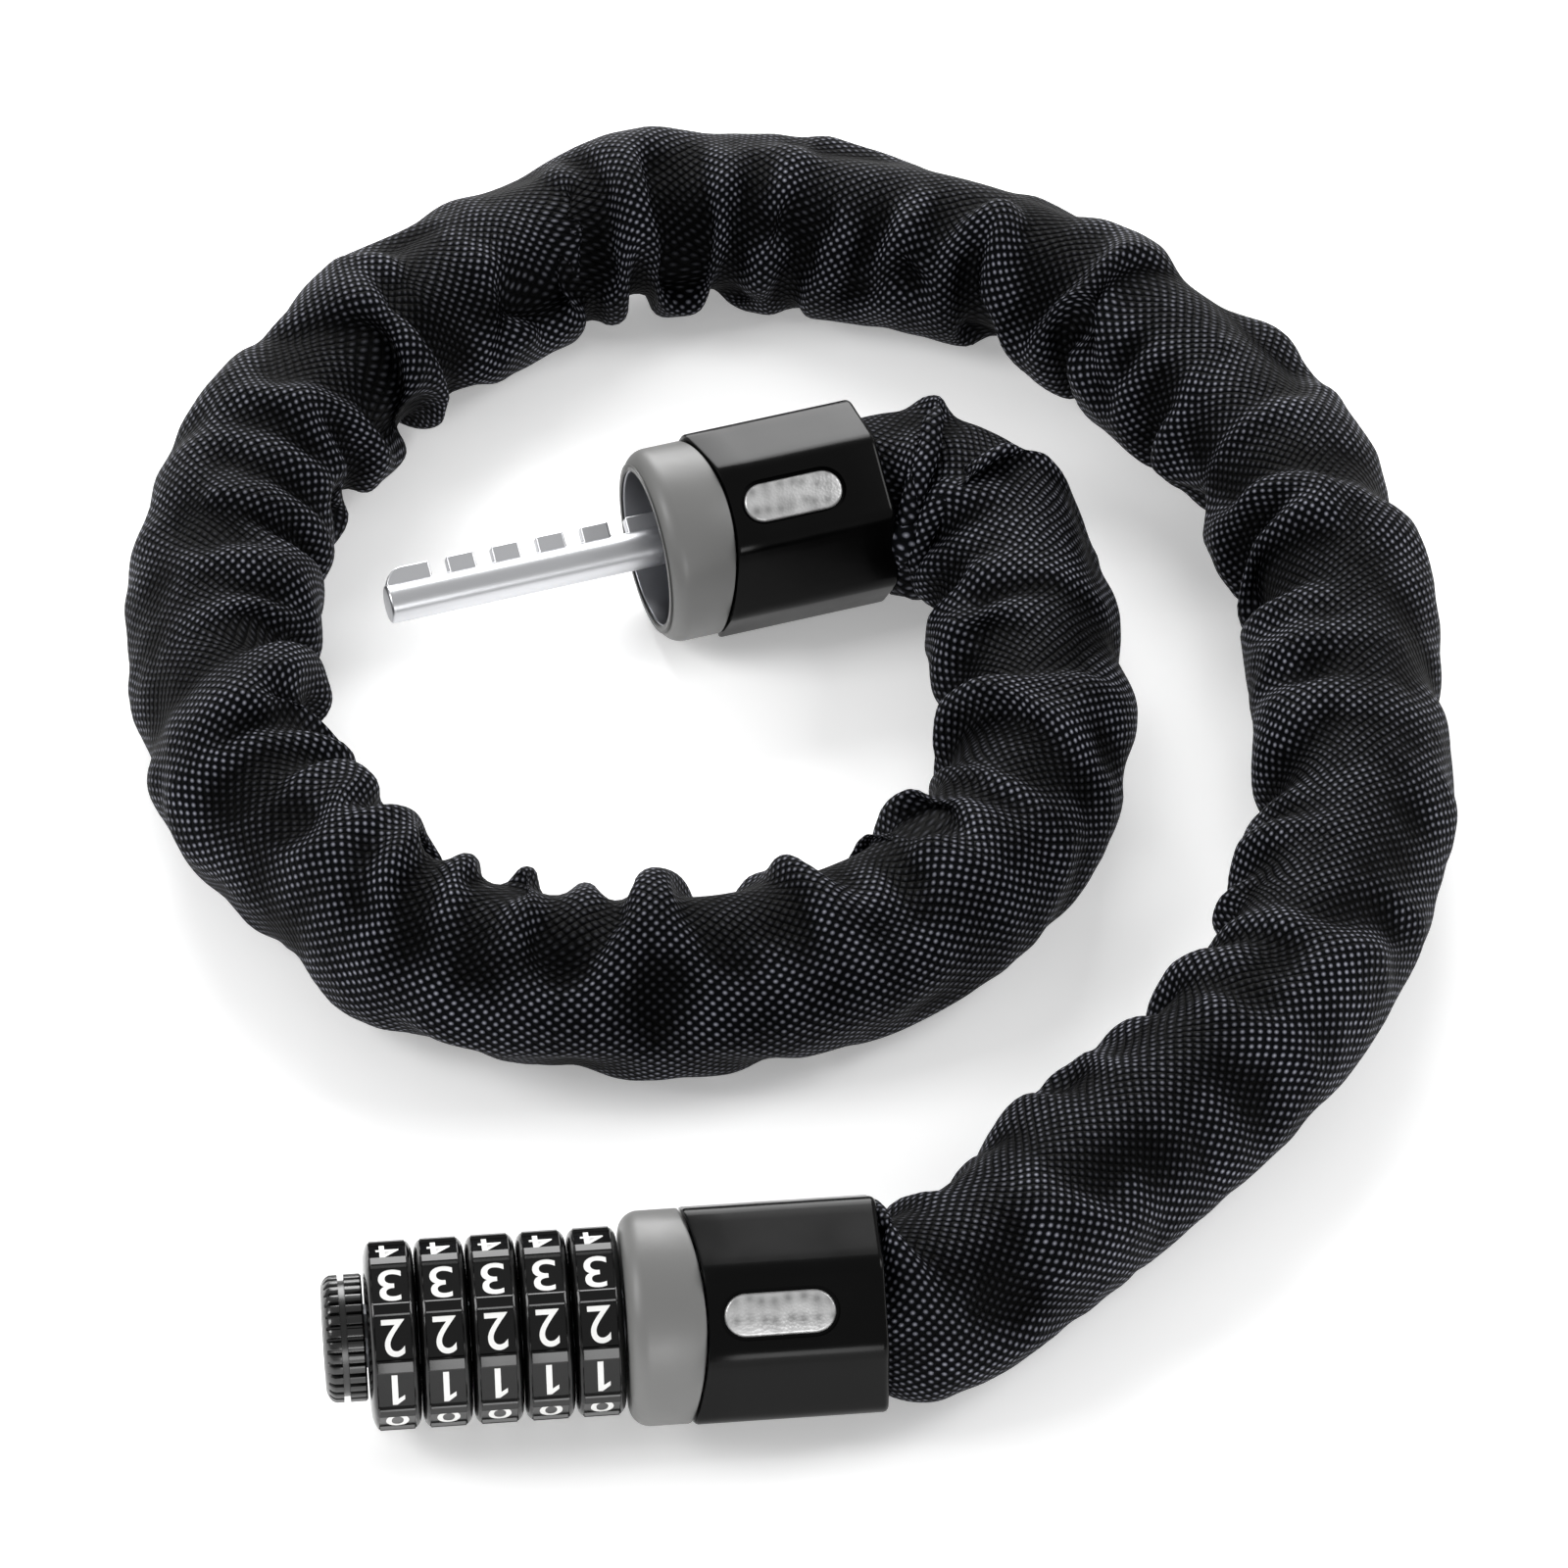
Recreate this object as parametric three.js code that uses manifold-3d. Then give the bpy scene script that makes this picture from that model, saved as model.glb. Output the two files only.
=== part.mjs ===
// Combination chain lock: a sleeved steel chain between a five-dial lock head and a pin head.
// Millimetres, +Z up. The origin is the centre of the flat side that the lock head rests on.
// Both heads are modelled along their own X axis, front towards -X and chain towards +X,
// with the badge on +Z, the collar's middle at x = 0, and then rolled and placed.
import * as THREE from "three";
import { mergeVertices } from "three/addons/utils/BufferGeometryUtils.js";
import Module from "manifold-3d";

const wasm = await Module();
wasm.setup();

// Driving dimensions
const GAP = 0.3; // running and assembly clearance between pieces
const EIGHTH_TURN = Math.PI / 4;

const COLLAR_ACROSS_FLATS = 33;
const COLLAR_LENGTH = 30;
const COLLAR_CORNER_RADIUS = 4;
const COLLAR_BORE_RADIUS = 14.2;
const RING_LENGTH = 9.3; // at the sides; its rear edge bulges under the badge
const RING_BULGE_RADIUS = 53.6;
const RING_BULGE = 2.6;
const RING_CHAMFER = 1.8;

const BADGE_LENGTH = 17;
const BADGE_WIDTH = 6.6;
const BADGE_THICKNESS = 1;
const BADGE_X = -1.2;

const DIAL_COUNT = 5;
const DIAL_PITCH = 7.8;
const DIAL_RADIUS = 14.5;
const DIAL_PANEL_RADIUS = 13.7;
const DIAL_PANEL_WIDTH = 5.5;
const DIAL_BORE_RADIUS = 9.3;
const DIGITS = 10;
const DIAL_RIB_WIDTH = 2.3;
const CODE_RING_RADIUS = 9;
const CODE_RING_BORE_RADIUS = 5.25;
const CODE_RING_THICKNESS = 2.6;

const KNOB_RADIUS = 9.75;
const KNOB_LENGTH = 6.3;
const KNOB_RIBS = 31;
const KNOB_RIB_DEPTH = 0.7;
const CLIP_POCKET_DEPTH = 2.6; // in the knob's front
const CLIP_GROOVE_DEPTH = 0.5;
const CLIP_THICKNESS = 0.7;
const CLIP_RIM = 2; // beyond the barrel

const PIN_RADIUS = 3.25;
const PIN_REACH = 45; // beyond the ring's face
const BLADE_TOP = 5.75; // from the pin's axis
const BLADE_THICKNESS = 2.6;
const TOOTH_GAP = 3; // each gap stands at the middle of a dial
const BLADE_ROOT = 7; // behind the ring's face
const TIP_RAMP = 2.5;
const BARREL_RADIUS = 5;
const BARREL_BORE_RADIUS = 3.45;
const KEYWAY_WIDTH = 3.6;
const KEYWAY_TOP = 6.3;
const KEYWAY_REACH = 6; // behind the ring's face
const LEAF_WIDTH = 2.4;
const LEAF_THICKNESS = 0.3;
const LEAF_FLAT = 4.4; // height of the barrel's flat that carries the leaf
const WASHER_THICKNESS = 0.8;

const CUP_RADIUS = 13.8;
const CUP_WALL = 0.7;
const CUP_DEPTH = 10;
const WEB_THICKNESS = 2.4;
const WEB_LENGTH = 3.2;

const BAR = 5.5; // the chain's square bar
const LINK_COUNT = 29;
const LINK_HALF_WINDOW = 4.7;
const LINK_WINDOW_LENGTH = 29.70; // brings the last link onto the pin head's anchor
const CHAIN_HEIGHT = 16.8;
const ANCHOR_X = 4.5;

const SLEEVE_RADIUS = 15.3; // to the flats of its twelve sides
const SLEEVE_WALL = 1;
const SLEEVE_SIDES = 12;
const SLEEVE_STEPS = 50;
const CLAMP_THICKNESS = 0.8;

const LOCK_HEAD_PLACE = [0, 0, 16.5];
const LOCK_HEAD_ROLL = EIGHTH_TURN;
const PIN_HEAD_PLACE = [16.6, 180.2, 17.2];
const PIN_HEAD_HEADING = THREE.MathUtils.degToRad(13);
const PIN_HEAD_ROLL = THREE.MathUtils.degToRad(35);

// The sleeve's centre line, from the lock head's collar round to the pin head's collar.
const ROUTE = [
  [17, 0, 16.5], [20, 0.3, 16.4], [26.4, 3.8, 16.1], [34.5, 10.6, 15.8], [48.6, 22.8, 15.5],
  [76.9, 50.8, 15.4], [88.5, 67.5, 15.4], [97.5, 86, 15.4], [103.2, 105.5, 15.4],
  [105.9, 126, 15.4], [106.5, 148, 15.4], [104.4, 170.5, 15.4], [98.4, 193, 15.4],
  [87.5, 215, 15.4], [73, 234, 15.4], [56, 247.6, 15.4], [36, 256.2, 15.4], [15, 260, 15.4],
  [-6, 259, 15.4], [-26, 250.2, 15.4], [-46.4, 233, 15.4], [-63, 212, 15.4],
  [-74, 189.5, 15.4], [-78.8, 164.5, 15.4], [-77.8, 138.5, 15.4], [-70.7, 114, 15.4],
  [-58, 94, 15.4], [-40, 80, 15.4], [-18, 74.4, 15.4], [4, 75.4, 15.4], [24, 82.6, 15.4],
  [40, 96, 15.4], [50, 114, 15.4], [54, 134.5, 15.5], [54, 153.1, 15.7], [52.6, 171.7, 16.2],
  [48.7, 178.9, 16.5], [42.3, 183.4, 16.8], [36.6, 184.6, 17.1], [32.4, 183.85, 17.2],
];

// Materials
function material(color, roughness, metalness) {
  return new THREE.MeshStandardMaterial({ color, roughness, metalness });
}
const blackPlastic = () => material(0x141416, 0.3, 0);
const greyPlastic = () => material(0x7f8082, 0.55, 0);
const badgeFilm = () => material(0xc6c7c9, 0.35, 0.6);
const brightSteel = () => material(0xd5d6d8, 0.22, 1);
const darkSteel = () => material(0x77797d, 0.45, 1);
const springSteel = () => material(0xa9abb0, 0.3, 1);
const brass = () => material(0xb79a5b, 0.35, 1);
const wovenPolyester = () => material(0x15161b, 0.9, 0);

// Solids: three.js shapes made closed, then joined and cut
function solid(geometry) {
  const bare = geometry.index ? geometry.toNonIndexed() : geometry.clone();
  bare.deleteAttribute("normal");
  bare.deleteAttribute("uv");
  const merged = mergeVertices(bare, 1e-4);
  const vertProperties = merged.attributes.position.array;
  const triVerts = new Uint32Array(merged.index.array);
  const made = new wasm.Manifold(new wasm.Mesh({ numProp: 3, vertProperties, triVerts }));
  if (made.volume() > 0) return made;
  triVerts.reverse();
  return new wasm.Manifold(new wasm.Mesh({ numProp: 3, vertProperties, triVerts }));
}

function named(name, shape, surface) {
  const { vertProperties, triVerts } = shape.getMesh();
  const geometry = new THREE.BufferGeometry();
  geometry.setAttribute("position", new THREE.BufferAttribute(vertProperties, 3));
  geometry.setIndex(new THREE.BufferAttribute(triVerts, 1));
  const flat = geometry.toNonIndexed();
  flat.computeVertexNormals();
  const mesh = new THREE.Mesh(flat, surface);
  mesh.name = name;
  return mesh;
}

// An outline in the YZ plane, run along X from x0 to x1.
function alongX(outline, x0, x1, curveSegments = 12) {
  const geometry = new THREE.ExtrudeGeometry(outline, {
    depth: x1 - x0,
    bevelEnabled: false,
    curveSegments,
  });
  const turn = new THREE.Matrix4().makeBasis(
    new THREE.Vector3(0, 1, 0),
    new THREE.Vector3(0, 0, 1),
    new THREE.Vector3(1, 0, 0),
  );
  return solid(geometry.applyMatrix4(turn).translate(x0, 0, 0));
}

// A profile of [radius, x] corners turned about the X axis.
function turned(profile, segments = 32) {
  const points = profile.map(([radius, x]) => new THREE.Vector2(radius, x));
  if (profile[0][0] > 0) points.push(points[0].clone());
  return solid(new THREE.LatheGeometry(points, segments).rotateZ(-Math.PI / 2));
}

function tube(innerRadius, outerRadius, x0, x1, segments = 32) {
  const corners = [[innerRadius, x0], [outerRadius, x0], [outerRadius, x1], [innerRadius, x1]];
  return turned(corners, segments);
}

function rod(radius, x0, x1, segments = 24) {
  return turned([[0, x0], [radius, x0], [radius, x1], [0, x1]], segments);
}

function box([x0, x1], [y0, y1], [z0, z1]) {
  const geometry = new THREE.BoxGeometry(x1 - x0, y1 - y0, z1 - z0);
  return solid(geometry.translate((x0 + x1) / 2, (y0 + y1) / 2, (z0 + z1) / 2));
}

function upright(radius, x, halfHeight) {
  const geometry = new THREE.CylinderGeometry(radius, radius, 2 * halfHeight, 16);
  return solid(geometry.rotateX(Math.PI / 2).translate(x, 0, 0));
}

// An outline in the XY plane, raised from z0 to z1.
function raised(outline, z0, z1, curveSegments = 8) {
  const settings = { depth: z1 - z0, bevelEnabled: false, curveSegments };
  return solid(new THREE.ExtrudeGeometry(outline, settings).translate(0, 0, z0));
}

function stadium(length, width) {
  const half = (length - width) / 2;
  const shape = new THREE.Shape();
  shape.absarc(half, 0, width / 2, -Math.PI / 2, Math.PI / 2);
  shape.absarc(-half, 0, width / 2, Math.PI / 2, 1.5 * Math.PI);
  return shape;
}

// Collar, ring and badge: the same on both heads
function roundedOctagon() {
  const centreDistance =
    (COLLAR_ACROSS_FLATS / 2 - COLLAR_CORNER_RADIUS) / Math.cos(EIGHTH_TURN / 2);
  const shape = new THREE.Shape();
  for (let corner = 0; corner < 8; corner++) {
    const angle = (corner + 0.5) * EIGHTH_TURN;
    shape.absarc(
      centreDistance * Math.cos(angle),
      centreDistance * Math.sin(angle),
      COLLAR_CORNER_RADIUS,
      angle - EIGHTH_TURN / 2,
      angle + EIGHTH_TURN / 2,
    );
  }
  return shape;
}

const COLLAR_FRONT = -COLLAR_LENGTH / 2;
const COLLAR_REAR = COLLAR_LENGTH / 2;
const RING_FACE = COLLAR_FRONT - RING_LENGTH;

function bulgeCylinder(extra) {
  const radius = RING_BULGE_RADIUS + extra;
  const centre = COLLAR_FRONT + RING_BULGE - RING_BULGE_RADIUS;
  const height = 2 * COLLAR_ACROSS_FLATS;
  const geometry = new THREE.CylinderGeometry(radius, radius, height, 128);
  return solid(geometry.rotateX(Math.PI / 2).translate(centre, 0, 0));
}

function badgeShape(grow, z0, z1) {
  const outline = stadium(BADGE_LENGTH + 2 * grow, BADGE_WIDTH + 2 * grow);
  return raised(outline, z0, z1).translate(BADGE_X, 0, 0);
}

function collar() {
  const face = COLLAR_ACROSS_FLATS / 2;
  return alongX(roundedOctagon(), COLLAR_FRONT - 2, COLLAR_REAR, 2)
    .subtract(rod(COLLAR_BORE_RADIUS, COLLAR_FRONT - 3, COLLAR_REAR + 1, 32))
    .subtract(bulgeCylinder(GAP))
    .subtract(badgeShape(GAP, face - BADGE_THICKNESS - GAP, face + 1));
}

function badge() {
  const face = COLLAR_ACROSS_FLATS / 2;
  return badgeShape(0, face - BADGE_THICKNESS, face + 0.1);
}

function ring(boreRadius) {
  const radius = COLLAR_ACROSS_FLATS / 2;
  const rear = COLLAR_FRONT + RING_BULGE + 1;
  const profile = [
    [boreRadius, RING_FACE],
    [radius - RING_CHAMFER, RING_FACE],
    [radius, RING_FACE + RING_CHAMFER],
    [radius, rear],
    [boreRadius, rear],
  ];
  return turned(profile, 40).intersect(bulgeCylinder(0));
}

// Anchor block: takes the barrel or the pin at its front and the chain's end link in its slot
const BLOCK_FRONT = COLLAR_FRONT + RING_BULGE + GAP;
const BLOCK_REAR = 8;
const BLOCK_RADIUS = COLLAR_BORE_RADIUS - GAP;
const SEAT_END = -8.3;

function anchorBlock(seatRadius) {
  const linkEnd = ANCHOR_X - LINK_HALF_WINDOW - BAR - 2 * GAP;
  return rod(BLOCK_RADIUS, BLOCK_FRONT, BLOCK_REAR, 32)
    .subtract(rod(seatRadius, BLOCK_FRONT - 1, SEAT_END))
    .subtract(box([linkEnd, BLOCK_REAR + 1], [-20, 20], [-BAR / 2 - 2 * GAP, BAR / 2 + 2 * GAP]))
    .subtract(upright(BAR / 2 + GAP, ANCHOR_X, 20));
}

function anchorPin() {
  return upright(BAR / 2, ANCHOR_X, BLOCK_RADIUS - 1);
}

function sleeveClamp() {
  const rear = COLLAR_REAR - CLAMP_THICKNESS;
  return tube(BLOCK_RADIUS - CLAMP_THICKNESS, BLOCK_RADIUS, BLOCK_REAR + 1, rear);
}

// Lock head: dials, code rings, barrel and knob
const DIALS_FRONT = RING_FACE - GAP - DIAL_COUNT * DIAL_PITCH;
const KNOB_FRONT = DIALS_FRONT - GAP - KNOB_LENGTH;
const CLIP_FRONT = KNOB_FRONT + 1.5;
const dialCentre = (index) => DIALS_FRONT + (index + 0.5) * DIAL_PITCH;

function dial(x) {
  const half = (DIAL_PITCH - GAP) / 2;
  const panel = DIAL_PANEL_WIDTH / 2;
  const profile = [
    [DIAL_BORE_RADIUS, x - half],
    [DIAL_RADIUS, x - half],
    [DIAL_RADIUS, x - panel],
    [DIAL_PANEL_RADIUS, x - panel],
    [DIAL_PANEL_RADIUS, x + panel],
    [DIAL_RADIUS, x + panel],
    [DIAL_RADIUS, x + half],
    [DIAL_BORE_RADIUS, x + half],
  ];
  let shape = turned(profile, 2 * DIGITS);
  const rib = box(
    [x - panel, x + panel],
    [-DIAL_RIB_WIDTH / 2, DIAL_RIB_WIDTH / 2],
    [DIAL_PANEL_RADIUS - 1, DIAL_RADIUS - 0.15],
  );
  for (let digit = 0; digit < DIGITS; digit++) {
    shape = shape.add(rib.rotate([((digit + 0.5) * 360) / DIGITS, 0, 0]));
  }
  return shape;
}

// The keyway opens towards -Y on the lock head.
function keyway(x0, x1, depth) {
  return box([x0, x1], [-depth, 0], [-KEYWAY_WIDTH / 2, KEYWAY_WIDTH / 2]);
}

function codeRing(x) {
  const half = CODE_RING_THICKNESS / 2;
  return tube(CODE_RING_BORE_RADIUS, CODE_RING_RADIUS, x - half, x + half, 24)
    .subtract(keyway(x - half - 1, x + half + 1, KEYWAY_TOP));
}

function barrel() {
  const front = KNOB_FRONT + 0.8;
  const groove = [CLIP_FRONT - 0.1, CLIP_FRONT + CLIP_THICKNESS + 0.3];
  const profile = [
    [BARREL_BORE_RADIUS, front],
    [BARREL_RADIUS, front],
    [BARREL_RADIUS, groove[0]],
    [BARREL_RADIUS - CLIP_GROOVE_DEPTH, groove[0]],
    [BARREL_RADIUS - CLIP_GROOVE_DEPTH, groove[1]],
    [BARREL_RADIUS, groove[1]],
    [BARREL_RADIUS, SEAT_END - GAP],
    [BARREL_BORE_RADIUS, SEAT_END - GAP],
  ];
  const flat = box([DIALS_FRONT + 1, RING_FACE - 1], [LEAF_FLAT, BARREL_RADIUS + 1], [-5, 5]);
  return turned(profile, 24)
    .subtract(keyway(front - 1, RING_FACE + KEYWAY_REACH, KEYWAY_TOP))
    .subtract(flat);
}

function retainingClip() {
  const bore = BARREL_RADIUS - CLIP_GROOVE_DEPTH + 0.15;
  const rear = CLIP_FRONT + CLIP_THICKNESS;
  return tube(bore, BARREL_RADIUS + CLIP_RIM, CLIP_FRONT, rear, 24)
    .subtract(box([CLIP_FRONT - 1, rear + 1], [-BARREL_RADIUS * 2, 0], [-3, 3]));
}

function resetKnob() {
  const outline = new THREE.Shape();
  for (let corner = 0; corner < 2 * KNOB_RIBS; corner++) {
    const radius = KNOB_RADIUS - (corner % 2) * KNOB_RIB_DEPTH;
    const angle = (corner * Math.PI) / KNOB_RIBS;
    const [y, z] = [radius * Math.cos(angle), radius * Math.sin(angle)];
    if (corner === 0) outline.moveTo(y, z);
    else outline.lineTo(y, z);
  }
  const rear = KNOB_FRONT + KNOB_LENGTH;
  const pocketRadius = BARREL_RADIUS + CLIP_RIM + 0.4;
  return alongX(outline, KNOB_FRONT, rear)
    .subtract(rod(BARREL_RADIUS + GAP, KNOB_FRONT - 1, rear + 1))
    .subtract(rod(pocketRadius, KNOB_FRONT - 1, KNOB_FRONT + CLIP_POCKET_DEPTH))
    .subtract(keyway(KNOB_FRONT - 1, rear + 1, KEYWAY_TOP));
}

function detentLeaf() {
  const foot = LEAF_FLAT + 0.15;
  return box(
    [DIALS_FRONT + 1.5, RING_FACE - 1.5],
    [foot, foot + LEAF_THICKNESS],
    [-LEAF_WIDTH / 2, LEAF_WIDTH / 2],
  );
}

function waveWasher() {
  const rear = RING_FACE - GAP;
  const front = rear - WASHER_THICKNESS;
  return tube(BARREL_RADIUS + 0.5, CODE_RING_RADIUS - GAP, front, rear, 24);
}

// Pin head: cup and toothed pin
function pinCup() {
  const floor = RING_FACE + CUP_DEPTH;
  const inner = CUP_RADIUS - CUP_WALL;
  const shell = turned([
    [PIN_RADIUS + GAP, floor],
    [inner, floor],
    [inner, RING_FACE + 0.2],
    [CUP_RADIUS, RING_FACE + 0.2],
    [CUP_RADIUS, floor + 1],
    [PIN_RADIUS + GAP, floor + 1],
  ]);
  const web = box(
    [floor + 0.5 - WEB_LENGTH, floor + 0.5],
    [-inner - 0.2, -BLADE_TOP - GAP],
    [-WEB_THICKNESS / 2, WEB_THICKNESS / 2],
  );
  return shell.add(web);
}

function lockingPin() {
  const tip = RING_FACE - PIN_REACH;
  const foot = PIN_RADIUS - 0.8;
  const blade = new THREE.Shape();
  blade.moveTo(RING_FACE + BLADE_ROOT, 0);
  blade.lineTo(RING_FACE + BLADE_ROOT, BLADE_TOP);
  for (let index = 0; index < DIAL_COUNT; index++) {
    const gapCentre = RING_FACE - (index + 0.5) * DIAL_PITCH;
    blade.lineTo(gapCentre + TOOTH_GAP / 2, BLADE_TOP);
    blade.lineTo(gapCentre + TOOTH_GAP / 2, foot);
    blade.lineTo(gapCentre - TOOTH_GAP / 2, foot);
    blade.lineTo(gapCentre - TOOTH_GAP / 2, BLADE_TOP);
  }
  blade.lineTo(tip + 0.5 + TIP_RAMP, BLADE_TOP);
  blade.lineTo(tip + 0.5, foot);
  blade.lineTo(tip + 0.5, 0);
  return rod(PIN_RADIUS, tip, SEAT_END - GAP, 24)
    .add(raised(blade, -BLADE_THICKNESS / 2, BLADE_THICKNESS / 2));
}

// Chain: flat and upright links by turns, each turning in its neighbour's rounded end
function pivotsAlong(curve, spans) {
  const marchStep = 1e-5;
  const pivots = [curve.getPoint(0)];
  let place = 0;
  for (const span of spans) {
    const last = pivots.at(-1);
    while (place < 1 && curve.getPoint(place).distanceTo(last) < span) place += marchStep;
    pivots.push(curve.getPoint(place));
  }
  return pivots;
}

function chain(lockAnchor, pinAnchor) {
  const path = [lockAnchor, ...ROUTE.map((point) => new THREE.Vector3(...point)), pinAnchor];
  path.forEach((point) => point.setZ(CHAIN_HEIGHT));
  const flatSpan = LINK_WINDOW_LENGTH - 2 * LINK_HALF_WINDOW;
  const uprightSpan = LINK_WINDOW_LENGTH + BAR;
  const isUpright = (index) => index % 2 === 1;
  const spans = Array.from({ length: LINK_COUNT }, (_, index) =>
    isUpright(index) ? uprightSpan : flatSpan,
  );
  const pivots = pivotsAlong(new THREE.CatmullRomCurve3(path), spans);

  const window = stadium(LINK_WINDOW_LENGTH, 2 * LINK_HALF_WINDOW);
  const outline = stadium(LINK_WINDOW_LENGTH + 2 * BAR, 2 * (LINK_HALF_WINDOW + BAR));
  const link = raised(outline, -BAR / 2, BAR / 2, 2).subtract(raised(window, -BAR, BAR, 3));
  return spans.map((_, index) => {
    const [from, to] = [pivots[index], pivots[index + 1]];
    const name = "chain_link_" + String(index + 1).padStart(2, "0");
    const mesh = named(name, link, darkSteel());
    mesh.position.copy(from).add(to).divideScalar(2);
    const heading = Math.atan2(to.y - from.y, to.x - from.x);
    mesh.rotation.set(isUpright(index) ? Math.PI / 2 : 0, 0, heading, "ZYX");
    return mesh;
  });
}

// Sleeve: a woven tube over the chain, butting against both collars
function sleeve() {
  const ringOf = (apothem) =>
    Array.from({ length: SLEEVE_SIDES }, (_, side) => {
      const angle = ((side + 0.5) * 2 * Math.PI) / SLEEVE_SIDES;
      const radius = apothem / Math.cos(Math.PI / SLEEVE_SIDES);
      return new THREE.Vector2(radius * Math.cos(angle), radius * Math.sin(angle));
    });
  const section = new THREE.Shape(ringOf(SLEEVE_RADIUS));
  section.holes.push(new THREE.Path(ringOf(SLEEVE_RADIUS - SLEEVE_WALL)));
  const path = new THREE.CatmullRomCurve3(ROUTE.map((point) => new THREE.Vector3(...point)));
  const settings = { steps: SLEEVE_STEPS, extrudePath: path, bevelEnabled: false };
  return solid(new THREE.ExtrudeGeometry(section, settings));
}

// Assembly
function placed(place, heading, roll, rolled, level) {
  const head = new THREE.Group();
  head.position.set(...place);
  head.rotation.z = heading;
  const rolledGroup = new THREE.Group();
  rolledGroup.rotation.x = roll;
  rolledGroup.add(...rolled);
  head.add(rolledGroup, ...level);
  return head;
}

function headShell(prefix, ringBore) {
  return [
    named(prefix + "_collar", collar(), blackPlastic()),
    named(prefix + "_badge", badge(), badgeFilm()),
    named(prefix + "_ring", ring(ringBore), greyPlastic()),
  ];
}

function headCore(prefix, seatRadius) {
  return [
    named(prefix + "_block", anchorBlock(seatRadius), darkSteel()),
    named(prefix + "_anchor_pin", anchorPin(), darkSteel()),
    named(prefix + "_clamp", sleeveClamp(), darkSteel()),
  ];
}

function lockHead() {
  const rolled = headShell("lock", BARREL_RADIUS + GAP);
  rolled.push(named("lock_barrel", barrel(), brass()));
  for (let index = 0; index < DIAL_COUNT; index++) {
    const x = dialCentre(index);
    rolled.push(named("dial_" + (index + 1), dial(x), blackPlastic()));
    rolled.push(named("code_ring_" + (index + 1), codeRing(x), brass()));
  }
  rolled.push(named("detent_leaf", detentLeaf(), springSteel()));
  rolled.push(named("wave_washer", waveWasher(), springSteel()));
  rolled.push(named("reset_knob", resetKnob(), blackPlastic()));
  rolled.push(named("retaining_clip", retainingClip(), springSteel()));
  const level = headCore("lock", BARREL_RADIUS + GAP);
  return placed(LOCK_HEAD_PLACE, 0, LOCK_HEAD_ROLL, rolled, level);
}

function pinHead() {
  const rolled = headShell("pin", CUP_RADIUS + GAP);
  rolled.push(named("pin_cup", pinCup(), brightSteel()));
  rolled.push(named("locking_pin", lockingPin(), brightSteel()));
  const level = headCore("pin", PIN_RADIUS + GAP);
  return placed(PIN_HEAD_PLACE, PIN_HEAD_HEADING, PIN_HEAD_ROLL, rolled, level);
}

function anchorOf(place, heading) {
  const along = new THREE.Vector3(Math.cos(heading), Math.sin(heading), 0);
  return new THREE.Vector3(...place).addScaledVector(along, ANCHOR_X);
}

const lock = new THREE.Group();
lock.add(lockHead(), pinHead());
lock.add(named("sleeve", sleeve(), wovenPolyester()));
lock.add(
  ...chain(anchorOf(LOCK_HEAD_PLACE, 0), anchorOf(PIN_HEAD_PLACE, PIN_HEAD_HEADING)),
);

export default lock;
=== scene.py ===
import math

import bmesh
import bpy
import numpy as np
from mathutils import Matrix, Vector, noise


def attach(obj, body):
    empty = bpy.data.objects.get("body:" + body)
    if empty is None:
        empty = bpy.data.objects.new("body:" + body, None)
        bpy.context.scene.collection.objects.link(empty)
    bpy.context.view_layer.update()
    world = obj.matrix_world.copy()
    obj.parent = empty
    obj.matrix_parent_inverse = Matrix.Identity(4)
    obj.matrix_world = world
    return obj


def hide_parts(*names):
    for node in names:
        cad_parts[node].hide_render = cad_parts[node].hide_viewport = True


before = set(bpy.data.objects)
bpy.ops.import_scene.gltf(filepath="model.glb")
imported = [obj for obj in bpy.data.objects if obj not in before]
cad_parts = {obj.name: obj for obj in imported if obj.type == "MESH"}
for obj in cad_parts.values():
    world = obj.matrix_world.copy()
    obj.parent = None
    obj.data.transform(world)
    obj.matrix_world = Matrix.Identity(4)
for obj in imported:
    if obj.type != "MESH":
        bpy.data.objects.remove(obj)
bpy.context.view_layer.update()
MM = 0.001


# ---------------------------------------------------------------- studio
# A white acrylic table top, lit a little from below, under a large soft light behind, one on
# each side and a low fill in front, seen through a long lens from 43 degrees above.
EIGHTH_TURN = math.pi / 4


def hex_colour(code):
    """Linear colour from a hex code."""
    channels = [int(code[i:i + 2], 16) / 255 for i in (1, 3, 5)]
    linear = [c / 12.92 if c <= 0.04045 else ((c + 0.055) / 1.055) ** 2.4 for c in channels]
    return (*linear, 1.0)


def node(tree, kind, settings=None, **links):
    """Adds a node. settings holds its properties, and links its inputs by name or _number."""
    made = tree.nodes.new(kind)
    for name, value in (settings or {}).items():
        setattr(made, name, value)
    for name, value in links.items():
        key = int(name[1:]) if name[1:].isdigit() else name.replace("_", " ")
        socket = made.inputs[key]
        if isinstance(value, bpy.types.NodeSocket):
            tree.links.new(value, socket)
        else:
            socket.default_value = value
    return made


def new_material(name, colour, **sockets):
    """A material, its node tree and its shader, with the shader's sockets set by name."""
    material = bpy.data.materials.new(name)
    material.use_nodes = True
    shader = material.node_tree.nodes["Principled BSDF"]
    shader.inputs["Base Color"].default_value = hex_colour(colour)
    for socket, value in sockets.items():
        shader.inputs[socket.replace("_", " ")].default_value = value
    return material, material.node_tree, shader


def new_object(name, mesh, material=None):
    """Links a mesh into the scene, with its material."""
    made = bpy.data.objects.new(name, mesh)
    bpy.context.scene.collection.objects.link(made)
    if material:
        mesh.materials.append(material)
    return made


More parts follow.
